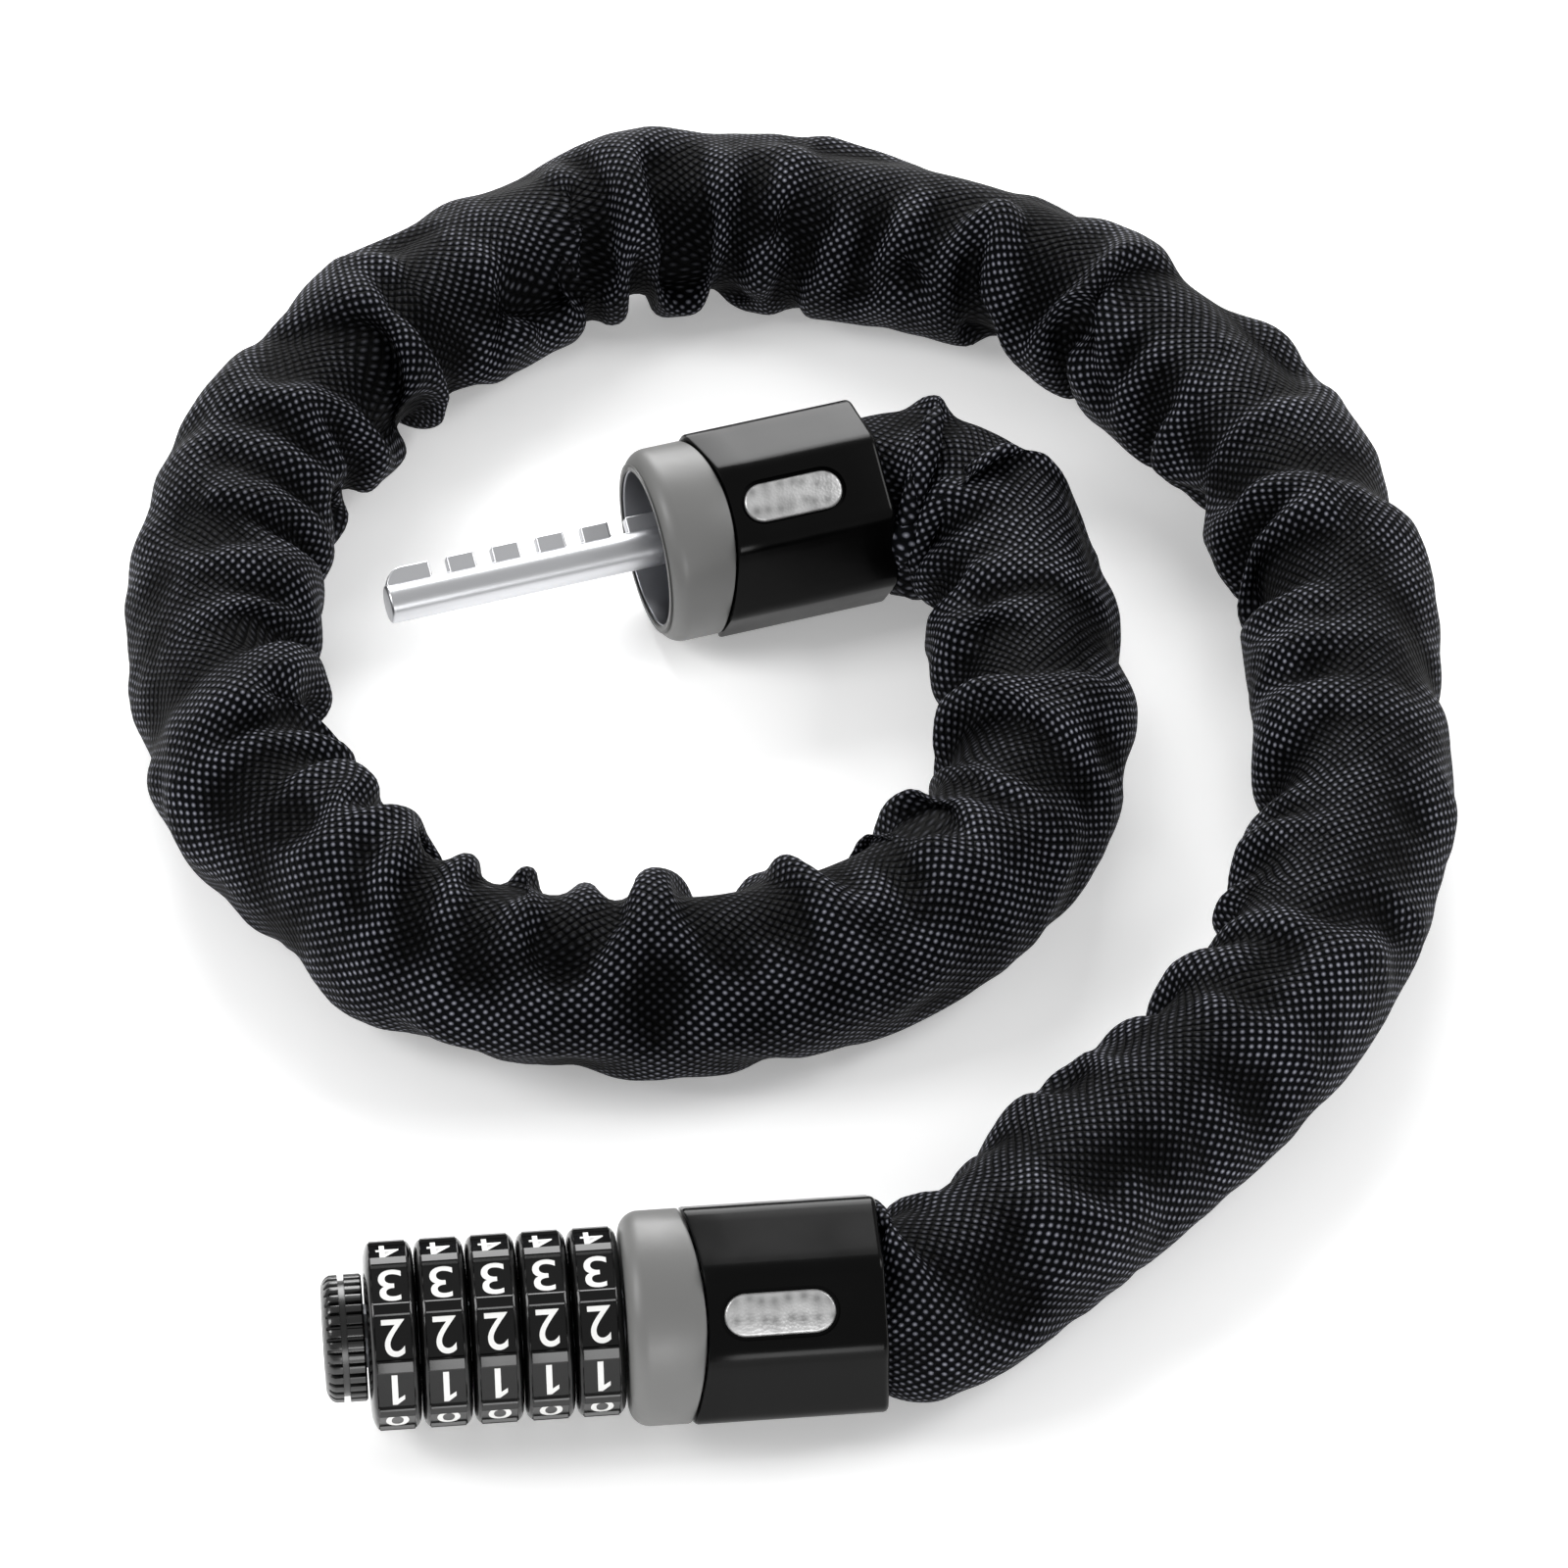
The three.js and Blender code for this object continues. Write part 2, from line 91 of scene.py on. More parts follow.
def mesh_from(bm, name, smooth=True):
    """Turns a bmesh into a mesh and frees it."""
    mesh = bpy.data.meshes.new(name)
    bm.to_mesh(mesh)
    bm.free()
    mesh.shade_smooth() if smooth else mesh.shade_flat()
    return mesh


FLOOR_HALF = 3.0
FLOOR_GAP = 0.0002
table_bm = bmesh.new()
bmesh.ops.create_grid(
    table_bm, x_segments=2, y_segments=2, size=FLOOR_HALF,
    matrix=Matrix.Translation((0, 0, -FLOOR_GAP)),
)
table_white, _, _ = new_material(
    "matt white acrylic", "#fbfbfb", Roughness=0.6, Emission_Color=hex_colour("#ffffff"),
    Emission_Strength=0.32,
)
table_top = new_object("table_top", mesh_from(table_bm, "table_top"), table_white)

world = bpy.data.worlds.new("studio")
world.use_nodes = True
world.node_tree.nodes["Background"].inputs["Color"].default_value = hex_colour("#ffffff")
world.node_tree.nodes["Background"].inputs["Strength"].default_value = 0.42
bpy.context.scene.world = world
bpy.context.scene.view_settings.view_transform = "Standard"

LOOK_AT = Vector((11.1, 117.8, 15.0)) * MM
CAMERA_ELEVATION = math.radians(43.5)
CAMERA_AZIMUTH = math.radians(-5.2)
CAMERA_DISTANCE = 1.388
VIEW_WIDTH = 0.256
SENSOR = 36.0


def aim(thing, place, target):
    """Stands a lamp or camera at place, facing the target."""
    thing.location = place
    thing.rotation_euler = (place - target).to_track_quat("Z", "Y").to_euler()


SOFTBOXES = (
    ("back_softbox", (0.0, 1.25, 0.62), 0.9, 17.0),
    ("left_softbox", (-1.1, 0.0, 0.85), 0.6, 9.0),
    ("right_softbox", (1.15, 0.1, 0.95), 0.6, 8.0),
    ("front_softbox", (0.1, -1.35, 0.3), 0.5, 5.0),
)
for light_name, place, size, power in SOFTBOXES:
    light = bpy.data.lights.new(light_name, "AREA")
    light.energy = power
    light.size = size
    lamp = bpy.data.objects.new(light_name, light)
    bpy.context.scene.collection.objects.link(lamp)
    aim(lamp, Vector(place), LOOK_AT)

camera = bpy.data.objects.new("camera", bpy.data.cameras.new("camera"))
bpy.context.scene.collection.objects.link(camera)
bpy.context.scene.camera = camera
camera.data.sensor_width = SENSOR
camera.data.lens = SENSOR * CAMERA_DISTANCE / VIEW_WIDTH
camera.data.clip_start = 0.05
toward_camera = Vector((
    math.sin(CAMERA_AZIMUTH) * math.cos(CAMERA_ELEVATION),
    -math.cos(CAMERA_AZIMUTH) * math.cos(CAMERA_ELEVATION),
    math.sin(CAMERA_ELEVATION),
))
aim(camera, LOOK_AT + toward_camera * CAMERA_DISTANCE, LOOK_AT)


# ---------------------------------------------------------------- chain and inner steel
# Hardened square-bar links, blocks, anchor pins and clamps: zinc-plated steel, left dull.
# They are inside the sleeve and the collars, so the solids' own shapes are enough.
def grained_metal(name, colour, roughness, grain_mm, depth):
    """Metal with a fine uneven grain, depth millimetres deep."""
    material, tree, shader = new_material(name, colour, Metallic=1.0, Roughness=roughness)
    place = node(tree, "ShaderNodeTexCoord")
    grain = node(
        tree, "ShaderNodeTexNoise", Vector=place.outputs["Object"], Scale=1 / (grain_mm * MM)
    )
    bump = node(tree, "ShaderNodeBump", Height=grain.outputs[0], Strength=0.4, Distance=depth * MM)
    tree.links.new(bump.outputs[0], shader.inputs["Normal"])
    return material


zinc_steel = grained_metal("zinc plated steel", "#8c8e92", 0.42, 0.6, 0.02)
spring_steel = grained_metal("polished spring steel", "#b4b6ba", 0.28, 0.3, 0.01)
turned_brass = grained_metal("turned brass", "#b8963f", 0.3, 0.2, 0.01)


def dress(node_name, material):
    """Gives a kept solid its finish."""
    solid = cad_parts[node_name]
    solid.data.materials.clear()
    solid.data.materials.append(material)


INNER_STEEL = ("_block", "_anchor_pin", "_clamp")
for node_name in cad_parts:
    if node_name.startswith("chain_link") or node_name.endswith(INNER_STEEL):
        dress(node_name, zinc_steel)
for node_name in ("detent_leaf", "wave_washer", "retaining_clip"):
    dress(node_name, spring_steel)


# ---------------------------------------------------------------- sleeve
# One tube of coarse black polyester webbing, woven plain, tucked into both collars. It is cut
# longer than the chain, so it is slack: smooth round the outside of a bend, pinched inside it.
# The line that the chain takes on the floor, in mm, and its ends inside the collars:
ROUTE_MM = (
    (17, 0, 16.5), (20, 0.3, 16.4), (26.4, 3.8, 16.1), (34.5, 10.6, 15.8), (48.6, 22.8, 15.5),
    (76.9, 50.8, 15.4), (88.5, 67.5, 15.4), (97.5, 86, 15.4), (103.2, 105.5, 15.4),
    (105.9, 126, 15.4), (106.5, 148, 15.4), (104.4, 170.5, 15.4), (98.4, 193, 15.4),
    (87.5, 215, 15.4), (73, 234, 15.4), (56, 247.6, 15.4), (36, 256.2, 15.4), (15, 260, 15.4),
    (-6, 259, 15.4), (-26, 250.2, 15.4), (-46.4, 233, 15.4), (-63, 212, 15.4),
    (-74, 189.5, 15.4), (-78.8, 164.5, 15.4), (-77.8, 138.5, 15.4), (-70.7, 114, 15.4),
    (-58, 94, 15.4), (-40, 80, 15.4), (-18, 74.4, 15.4), (4, 75.4, 15.4), (24, 82.6, 15.4),
    (40, 96, 15.4), (50, 114, 15.4), (54, 134.5, 15.5), (54, 153.1, 15.7), (52.6, 171.7, 16.2),
    (48.7, 178.9, 16.5), (42.3, 183.4, 16.8), (36.6, 184.6, 17.1), (32.4, 183.85, 17.2),
)
TUCKED_START_MM = ((9, 0, 16.5), (13, 0, 16.5))
TUCKED_END_MM = ((28.4, 182.93, 17.2), (24.5, 182.03, 17.2))


def smooth_line(points, steps_between=12):
    """A Catmull-Rom line through the points."""
    ends = [2 * points[0] - points[1], *points, 2 * points[-1] - points[-2]]
    line = []
    for p0, p1, p2, p3 in zip(ends, ends[1:], ends[2:], ends[3:]):
        for step in range(steps_between):
            t = step / steps_between
            square = (2 * p0 - 5 * p1 + 4 * p2 - p3) * t * t
            cube = (3 * p1 - p0 - 3 * p2 + p3) * t ** 3
            line.append((2 * p1 + (p2 - p0) * t + square + cube) / 2)
    return line + [points[-1]]


sleeve_points = [Vector(p) * MM for p in (*TUCKED_START_MM, *ROUTE_MM, *TUCKED_END_MM)]
centre_line = smooth_line(sleeve_points)
distances = [0.0]
for here, there in zip(centre_line, centre_line[1:]):
    distances.append(distances[-1] + (there - here).length)
sleeve_length = distances[-1]


def line_at(distance):
    """The centre line's point, outward side and upward side at a distance from its start."""
    low, high = 0, len(distances) - 2
    while low < high:
        index = (low + high + 1) // 2
        low, high = (index, high) if distances[index] <= distance else (low, index - 1)
    span = distances[low + 1] - distances[low]
    point = centre_line[low].lerp(centre_line[low + 1], (distance - distances[low]) / span)
    before = centre_line[max(low - 4, 0)]
    after = centre_line[min(low + 5, len(centre_line) - 1)]
    along = (after - before).normalized()
    outward = along.cross(Vector((0, 0, 1))).normalized()
    return point, outward, outward.cross(along)


# Radii of the slack cloth, of its tucked ends and of the chain inside it. The chain turns hard
# over the last stretch before the pin head, and takes more room there.
SLEEVE_RADIUS = 14.5 * MM
TUCKED_RADIUS = 12.7 * MM
HELD_LENGTH, FREEING_LENGTH = 6 * MM, 9 * MM
MOST_REACH = 17.0 * MM
CORE_RADIUS = 11.7 * MM
TIGHT_CORE_RADIUS = 13.0 * MM
TIGHT_LENGTH = 58 * MM
CORE_RAISE = 1.4 * MM
CORE_STEP = 1.5 * MM

# Pinched folds: distance along the sleeve, angle round it from the outside over the top,
# depth, half-length along, half-width round in degrees, and slant in mm for each degree.
FOLDS = (
    (36, 175, 4.5, 7, 55, 0.05), (62, 150, 4.0, 8, 50, -0.12), (88, 190, 4.5, 7, 60, 0.08),
    (104, 60, 2.2, 9, 45, 0.15), (118, 165, 4.8, 8, 60, 0.10), (150, 180, 5.0, 8, 60, -0.08),
    (186, 170, 5.0, 8, 65, 0.10), (205, 80, 2.0, 10, 50, -0.15), (222, 175, 3.5, 8, 55, 0.05),
    (256, 165, 4.0, 8, 60, -0.10), (284, 60, 2.0, 9, 45, 0.12), (298, 175, 3.6, 8, 55, 0.08),
    (330, 165, 3.8, 8, 60, 0.12), (352, 40, 2.2, 9, 45, -0.12), (372, 180, 3.8, 8, 55, -0.06),
    (405, 160, 3.8, 8, 60, 0.10), (430, 70, 1.8, 10, 45, 0.15), (446, 175, 4.0, 8, 60, -0.10),
    (478, 150, 3.8, 8, 60, 0.12), (500, 95, 2.4, 9, 50, -0.15), (520, 175, 4.5, 8, 60, 0.06),
    (548, 160, 5.0, 7, 65, 0.10), (566, 80, 2.2, 9, 45, -0.14), (584, 170, 5.2, 7, 65, -0.08),
    (612, 150, 4.0, 9, 55, 0.14), (640, 175, 4.2, 8, 60, -0.06), (668, 165, 4.6, 8, 60, 0.10),
    (694, 178, 5.0, 7, 65, -0.06), (712, 80, 2.4, 9, 50, 0.14), (730, 165, 4.8, 7, 60, 0.08),
    (752, 180, 4.6, 6, 60, -0.04), (770, 150, 3.5, 6, 60, 0.06),
)
FOLD_FALL = 1.6
SWELL_SHARE, SWELL_PLACE, SWELL_SPREAD = 0.42, 1.9, 0.8
FOLD_WIDEST, FOLD_LONGEST = 1.5, 5


def fold_height(distance, angle):
    """How far the folds push the cloth in, with a low swell on both sides of each."""
    height = 0.0
    for place, centre, depth, length, width, slant in FOLDS:
        turn = (angle - centre + 180) % 360 - 180
        if abs(turn) >= width * FOLD_WIDEST:
            continue
        reach = (distance / MM - place - slant * turn) / length
        if abs(reach) > FOLD_LONGEST:
            continue
        across = math.cos(turn / width * math.pi / 3) ** 2
        crease = math.exp(-abs(reach) * FOLD_FALL)
        swell = SWELL_SHARE * math.exp(-((abs(reach) - SWELL_PLACE) / SWELL_SPREAD) ** 2)
        height += depth * MM * across * (swell - crease)
    return height


def noise_spot(along, across, angle):
    """A place in the noise that comes back to itself once round the tube."""
    turn = math.radians(angle)
    return Vector((along, across * math.cos(turn), across * math.sin(turn)))


# The crumple's length along the tube and its change round it, then its three layers in mm.
CRUMPLE_LENGTH, CRUMPLE_ACROSS = 21 * MM, 0.95
BROAD_DENT, SHARP_RIDGE, FINE_DENT = 1.9, 0.9, 0.45
RIDGE_SCALE, FINE_SCALE = 1.7, 3.6


def crumple(distance, angle):
    """Soft dents with sharper ridges between them, all over the cloth."""
    place = noise_spot(distance / CRUMPLE_LENGTH, CRUMPLE_ACROSS, angle)
    broad = noise.noise(place)
    ridge = 0.5 - abs(noise.noise(place * RIDGE_SCALE + Vector((7.3, 1.1, 4.2)))) * 2
    fine = noise.noise(place * FINE_SCALE + Vector((2.1, 9.4, 3.3)))
    return (BROAD_DENT * broad + SHARP_RIDGE * ridge + FINE_DENT * fine) * MM


def free_part(distance):
    """0 where the cloth is held in a collar, 1 where it is free."""
    from_end = min(distance, sleeve_length - distance)
    free = min(1.0, max(0.0, (from_end - HELD_LENGTH) / FREEING_LENGTH))
    return free * free * (3 - 2 * free)


def ring_places(rings, steps=800):
    """Where the rings lie, so that they are evenly spaced along the outside of the bends."""
    samples = [sleeve_length * i / steps for i in range(steps + 1)]
    outside = [line_at(s)[0] + line_at(s)[1] * SLEEVE_RADIUS for s in samples]
    run = [0.0]
    for here, there in zip(outside, outside[1:]):
        run.append(run[-1] + (there - here).length)
    wanted = np.linspace(0, run[-1], rings)
    return np.interp(wanted, run, samples), run[-1]


def pleated_tube(places, angles):
    """The cloth's first points: a tube with the folds and the crumple drawn in."""
    points = np.zeros((len(places), len(angles), 3))
    for i, distance in enumerate(places):
        point, outward, upward = line_at(distance)
        free = free_part(distance)
        for k, angle in enumerate(angles):
            reach = TUCKED_RADIUS + (SLEEVE_RADIUS - TUCKED_RADIUS) * free
            reach += (fold_height(distance, angle) + crumple(distance, angle)) * free
            turn = math.radians(angle)
            points[i, k] = point + (outward * math.cos(turn) + upward * math.sin(turn)) * reach
    return points


def chain_core():
    """Points along the chain, the way it runs there and how far off the cloth must stay."""
    core = np.array([line_at(s)[0] for s in np.arange(0, sleeve_length, CORE_STEP)])
    core[:, 2] += CORE_RAISE
    way = np.gradient(core, axis=0)
    way /= np.linalg.norm(way, axis=1, keepdims=True)
    least = np.full((len(core), 1), CORE_RADIUS)
    least[-int(TIGHT_LENGTH / CORE_STEP):] = TIGHT_CORE_RADIUS
    return core, way, least


def spokes(points, core, way, nearest):
    """From the chain out to each point of the cloth, square to the chain, and their lengths."""
    spoke = points - core[nearest]
    ahead = way[nearest]
    spoke -= ahead * (spoke * ahead).sum(-1, keepdims=True)
    return spoke, np.linalg.norm(spoke, axis=-1, keepdims=True)


# The push of the chain's slack on the cloth each round, and how it changes along and round.
PRESSURE = 0.016 * MM
PUFF_LENGTH, PUFF_ACROSS, PUFF_CHANGE = 18 * MM, 0.8, 1.1


def chain_push(places, angles):
    """How far a round pushes each point outwards: uneven, so that the cloth puffs."""
    push = np.zeros((len(places), len(angles), 1))
    for i, distance in enumerate(places):
        for k, angle in enumerate(angles):
            spot = noise_spot(distance / PUFF_LENGTH, PUFF_ACROSS, angle)
            push[i, k] = PRESSURE * max(0.0, 1 + PUFF_CHANGE * noise.noise(spot))
    return push


def pull(one, other, shortest, longest, share):
    """Moves both points of each pair until they are between shortest and longest apart."""
    gap = other - one
    length = np.linalg.norm(gap, axis=-1, keepdims=True)
    change = (length - np.clip(length, shortest, longest)) / np.maximum(length, 1e-7)
    gap *= change * (share / 2)
    one += gap
    other -= gap


# Shortest and longest length of a thread, in shares of its cut length, and how much of the
# error a round takes out: threads along, threads around, the slant between them, and bends.
ALONG_LIMITS = (0.9, 1.01)
AROUND_LIMITS = (0.93, 1.01)
SLANT_LIMITS = (0.88, 1.12)
BEND_LOW = 1.9
THREAD_SHARE, SLANT_SHARE, BEND_SHARE = 0.9, 0.5, 0.25


def keep_threads(points, along, around):
    """Pulls the threads and the slants between them towards their cut lengths."""
    slant = math.hypot(along, around)
    short_slant, long_slant = (slant * limit for limit in SLANT_LIMITS)
    for parity in (0, 1):
        one, other = points[parity:-1:2], points[parity + 1::2]
        pull(one, other, *(along * limit for limit in ALONG_LIMITS), THREAD_SHARE)
        pull(one[:, 0::2], other[:, 1::2], short_slant, long_slant, SLANT_SHARE)
        pull(one[:, 1::2], other[:, 0::2], short_slant, long_slant, SLANT_SHARE)
    limits = (around * limit for limit in AROUND_LIMITS)
    pull(points[:, 0::2], points[:, 1::2], *limits, THREAD_SHARE)


def keep_bends(points, along):
    """Keeps every second ring apart, so that the cloth doesn't fold flat on itself."""
    for offset in range(4):
        other = points[offset + 2::4]
        one = points[offset::4][:len(other)]
        pull(one, other, along * BEND_LOW, math.inf, BEND_SHARE)


# Dents pressed into the settled cloth: broad pits, deeper towards the inside of a bend, and a
# low ripple over them. A crease is a point that lies under the cloth for some way round it; the
# webbing is darkened there as painted shade.
DENT_LENGTH, DENT_ACROSS = 15 * MM, 1.1
DENT_DEPTH = 0.7 * MM
RIPPLE_SCALE, RIPPLE_LEVEL, RIPPLE_SLOPE = 1.95, 0.35, 1.6
PIT_LEVEL, PIT_DEPTH = 0.05, 12.0 * MM
OUTSIDE_SLACK, INSIDE_SLACK = 0.3, 1.0
CREASE_SPREAD = 14
CREASE_DEPTH = 0.9 * MM


def dent_heights(rings, angles, along):
    """How far each point moves along the cloth's outward side, pits downwards."""
    heights = np.zeros((rings, len(angles), 1))
    for i in range(rings):
        for k, angle in enumerate(angles):
            spot = noise_spot(i * along / DENT_LENGTH, DENT_ACROSS, angle)
            inside = (1 - math.cos(math.radians(angle))) / 2
            slack = OUTSIDE_SLACK + (INSIDE_SLACK - OUTSIDE_SLACK) * inside
            pit = max(0.0, noise.noise(spot) - PIT_LEVEL) * PIT_DEPTH * slack
            ripple = RIPPLE_LEVEL - abs(noise.noise(spot * RIPPLE_SCALE)) * RIPPLE_SLOPE
            heights[i, k] = ripple * DENT_DEPTH - pit
    return heights


def crease_shares(reach):
    """How much painted crease shade each point gets: 0 on open cloth and 1 in a crease, from the
    reach of the cloth round each point.
    """
    near = reach
    for _ in range(CREASE_SPREAD):
        near = (near + np.roll(near, 1, 1) + np.roll(near, -1, 1)) / 3
        padded = np.pad(near, ((1, 1), (0, 0)), mode="edge")
        near = (padded[:-2] + padded[1:-1] + padded[2:]) / 3
    return np.clip((near - reach) / CREASE_DEPTH, 0, 1)


# Of the last round's move, KEPT_MOVE goes on in the next, and the cloth sags by SAG. The
# nearest place on the chain is looked for again, SEARCH steps either way, every few rounds.
CUT_EXTRA = 1.012
KEPT_MOVE = 0.86
SAG = 0.004 * MM
SEARCH, SEARCH_EVERY = 14, 12
SETTLING_FLOOR, DENTED_FLOOR = 0.4 * MM, 0.3 * MM
PINNED = 0.01


def settled_cloth(rings, sides, rounds):
    """Grid of points of the slack tube, the length it is cut to, and each point's share of painted
    crease shade.
    """
    places, cut_length = ring_places(rings)
    angles = [360 * k / sides for k in range(sides)]
    points = pleated_tube(places, angles)
    held = np.array([free_part(s) for s in places])[:, None, None] ** 0.5
    pinned = held[:, 0, 0] < PINNED
    along = cut_length * CUT_EXTRA / (rings - 1)
    around = 2 * math.pi * SLEEVE_RADIUS / sides
    core, way, least = chain_core()
    nearest = np.repeat((places / CORE_STEP).astype(int)[:, None], sides, axis=1)
    push = chain_push(places, angles)
    start, before = points.copy(), points.copy()
    for done in range(rounds):
        moved = (points - before) * KEPT_MOVE
        before = points.copy()
        points += moved * held
        points[..., 2] -= SAG
        keep_threads(points, along, around)
        keep_bends(points, along)
        if done % 2:
            pull(points[:, 0::4], points[:, 2::4], around * BEND_LOW, math.inf, BEND_SHARE)
        if done % SEARCH_EVERY == 0:
            choice = nearest[..., None] + np.arange(-SEARCH, SEARCH + 1)
            choice = np.clip(choice, 0, len(core) - 1)
            far = ((points[:, :, None, :] - core[choice]) ** 2).sum(-1)
            nearest = np.take_along_axis(choice, far.argmin(-1)[..., None], -1)[..., 0]
        spoke, reach = spokes(points, core, way, nearest)
        wanted = np.clip(reach + push, least[nearest], MOST_REACH)
        points += spoke * (wanted / reach - 1) * held
        points[..., 2] = np.maximum(points[..., 2], SETTLING_FLOOR)
        if done == 0:
            points = start + (points - start) * held
        points[pinned] = start[pinned]
        points, before, start, nearest, push = (
            np.roll(grid, -1, axis=1) for grid in (points, before, start, nearest, push)
        )
    points, nearest = (np.roll(grid, rounds % sides, axis=1) for grid in (points, nearest))

    normals = np.cross(
        np.roll(points, -1, axis=1) - np.roll(points, 1, axis=1), np.gradient(points, axis=0)
    )
    normals /= np.linalg.norm(normals, axis=-1, keepdims=True)
    facing = np.sign(((points - core[nearest]) * normals).sum())
    points += normals * dent_heights(rings, angles, along) * held * facing
    spoke, reach = spokes(points, core, way, nearest)
    wanted = np.maximum(reach, least[nearest])
    points += spoke * (wanted / reach - 1) * held
    points[..., 2] = np.maximum(points[..., 2], DENTED_FLOOR)
    return points, cut_length, crease_shares(wanted[..., 0])


def sleeve_mesh(points, cut_length):
    """The tube's faces, with the place on the flat cloth of each corner kept as its UV."""
    rings, sides = points.shape[:2]
    bm = bmesh.new()
    uv = bm.loops.layers.uv.new("cloth")
    verts = [[bm.verts.new(p) for p in ring] for ring in points]
    girth = 2 * math.pi * SLEEVE_RADIUS
    for i in range(rings - 1):
        for k in range(sides):
            corners = ((i, k), (i + 1, k), (i + 1, k + 1), (i, k + 1))
            face = bm.faces.new([verts[a][b % sides] for a, b in corners])
            for loop, (a, b) in zip(face.loops, corners):
                loop[uv].uv = (cut_length * a / (rings - 1), girth * b / sides)
    bmesh.ops.recalc_face_normals(bm, faces=bm.faces)
    return bm


THREAD_PITCH = 1.15 * MM
FLOAT_SHARE = 0.78
FLOAT_HEIGHT = 0.5 * MM


def woven_webbing():
    """Plain weave of thick threads: diagonal rows of small raised floats, with a painted highlight
    on each float and painted shade between them.
    The cloth is worn lighter in patches, and darkened in its creases as painted shade."""
    material, tree, shader = new_material(
        "woven polyester webbing", "#101115", Roughness=0.55, Specular_IOR_Level=0.03
    )
    cloth = node(tree, "ShaderNodeUVMap", {"uv_map": "cloth"})
    bias = node(
        tree, "ShaderNodeMapping", Vector=cloth.outputs[0], Rotation=(0, 0, EIGHTH_TURN),
        Scale=(FLOAT_SHARE / THREAD_PITCH, 1 / THREAD_PITCH, 1),
    )
    floats = node(
        tree, "ShaderNodeTexVoronoi", {"voronoi_dimensions": "2D"},
        Vector=bias.outputs[0], Scale=1.0, Randomness=0.12,
    )
    # The weave's pattern with painted light: the light float centres are painted highlights, and
    # the near-black gaps between them painted shade.
    tone = node(tree, "ShaderNodeValToRGB", Fac=floats.outputs["Distance"])
    float_highlight_and_gap_shade = tone.color_ramp
    float_highlight_and_gap_shade.elements[0].color = hex_colour("#9c9da6")
    float_highlight_and_gap_shade.elements[1].position = 0.5
    float_highlight_and_gap_shade.elements[1].color = hex_colour("#060709")
    for place, shade in ((0.2, "#5c5d66"), (0.33, "#0c0d12")):
        step = float_highlight_and_gap_shade.elements.new(place)
        step.color = hex_colour(shade)
    fade = node(
        tree, "ShaderNodeTexNoise", Vector=cloth.outputs[0], Scale=1 / (9 * MM), Detail=3.0
    )
    shade = node(
        tree, "ShaderNodeMapRange", Value=fade.outputs[0],
        From_Min=0.3, From_Max=0.7, To_Min=0.4, To_Max=1.2,
    )
    # Painted shade: the webbing's colour falls to 0.12 of itself in the creases.
    crease = node(tree, "ShaderNodeAttribute", {"attribute_name": "crease"})
    pressed = node(
        tree, "ShaderNodeMapRange", Value=crease.outputs["Fac"],
        From_Min=0.0, From_Max=1.0, To_Min=1.0, To_Max=0.12,
    )
    patch_tone_and_crease_shade = node(
        tree, "ShaderNodeMath", {"operation": "MULTIPLY"},
        _0=shade.outputs[0], _1=pressed.outputs[0],
    )
    mixed = node(
        tree, "ShaderNodeMixRGB", {"blend_type": "MULTIPLY"},
        Fac=1.0, Color1=tone.outputs[0], Color2=patch_tone_and_crease_shade.outputs[0],
    )
    bump = node(
        tree, "ShaderNodeBump", {"invert": True},
        Height=floats.outputs["Distance"], Strength=1.0, Distance=FLOAT_HEIGHT,
    )
    tree.links.new(mixed.outputs[0], shader.inputs["Base Color"])
    tree.links.new(bump.outputs[0], shader.inputs["Normal"])
    return material


CLOTH_RINGS, CLOTH_SIDES, CLOTH_ROUNDS = 400, 44, 700
cloth_points, cut_length, crease_shade = settled_cloth(CLOTH_RINGS, CLOTH_SIDES, CLOTH_ROUNDS)
sleeve_bm = sleeve_mesh(cloth_points, cut_length)
sleeve = new_object("woven_sleeve", mesh_from(sleeve_bm, "woven_sleeve"), woven_webbing())
# Each point's share of painted crease shade, read by the webbing's material.
crease_shade_layer = sleeve.data.attributes.new("crease", "FLOAT", "POINT")
crease_shade_layer.data.foreach_set("value", crease_shade.ravel())
rounding = sleeve.modifiers.new("rounding", "SUBSURF")
rounding.levels = rounding.render_levels = 1
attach(sleeve, "lock_body")
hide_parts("sleeve")


# ---------------------------------------------------------------- grey rings
# Moulded grey nylon collar rings with a rounded front edge. The rear edge follows the long
# curve in the black collar's front, so it reaches further back under the badge.
def head_place(x, y, z, heading, roll):
    """Where a head stands: its own axes are X towards the chain and Z through the badge."""
    heading_turn = Matrix.Rotation(math.radians(heading), 4, "Z")
    turn = heading_turn @ Matrix.Rotation(math.radians(roll), 4, "X")
    return Matrix.Scale(MM, 4) @ Matrix.Translation((x, y, z)) @ turn


HEADS = {
    "lock": head_place(0, 0, 16.5, 0, 45),
    "pin": head_place(16.6, 180.2, 17.2, 13, 35),
}
RING_RADIUS = 16.5
RING_FACE = -24.3
FACE_ROUNDING = 3.2
RING_STEPS = 144
BULGE_RADIUS = 53.6
BULGE_CENTRE = -66.0


def seam_x(y, gap=0.0):
    """The curve where the grey ring meets the black collar, as x over y."""
    return BULGE_CENTRE + math.sqrt((BULGE_RADIUS + gap) ** 2 - y * y)


def arc(centre_r, centre_x, radius, start, end, steps):
    """Points (r, x) of a profile's rounded corner, angles in degrees from +r towards +x."""
    angles = [math.radians(start + (end - start) * i / steps) for i in range(steps + 1)]
    return [(centre_r + radius * math.cos(a), centre_x + radius * math.sin(a)) for a in angles]


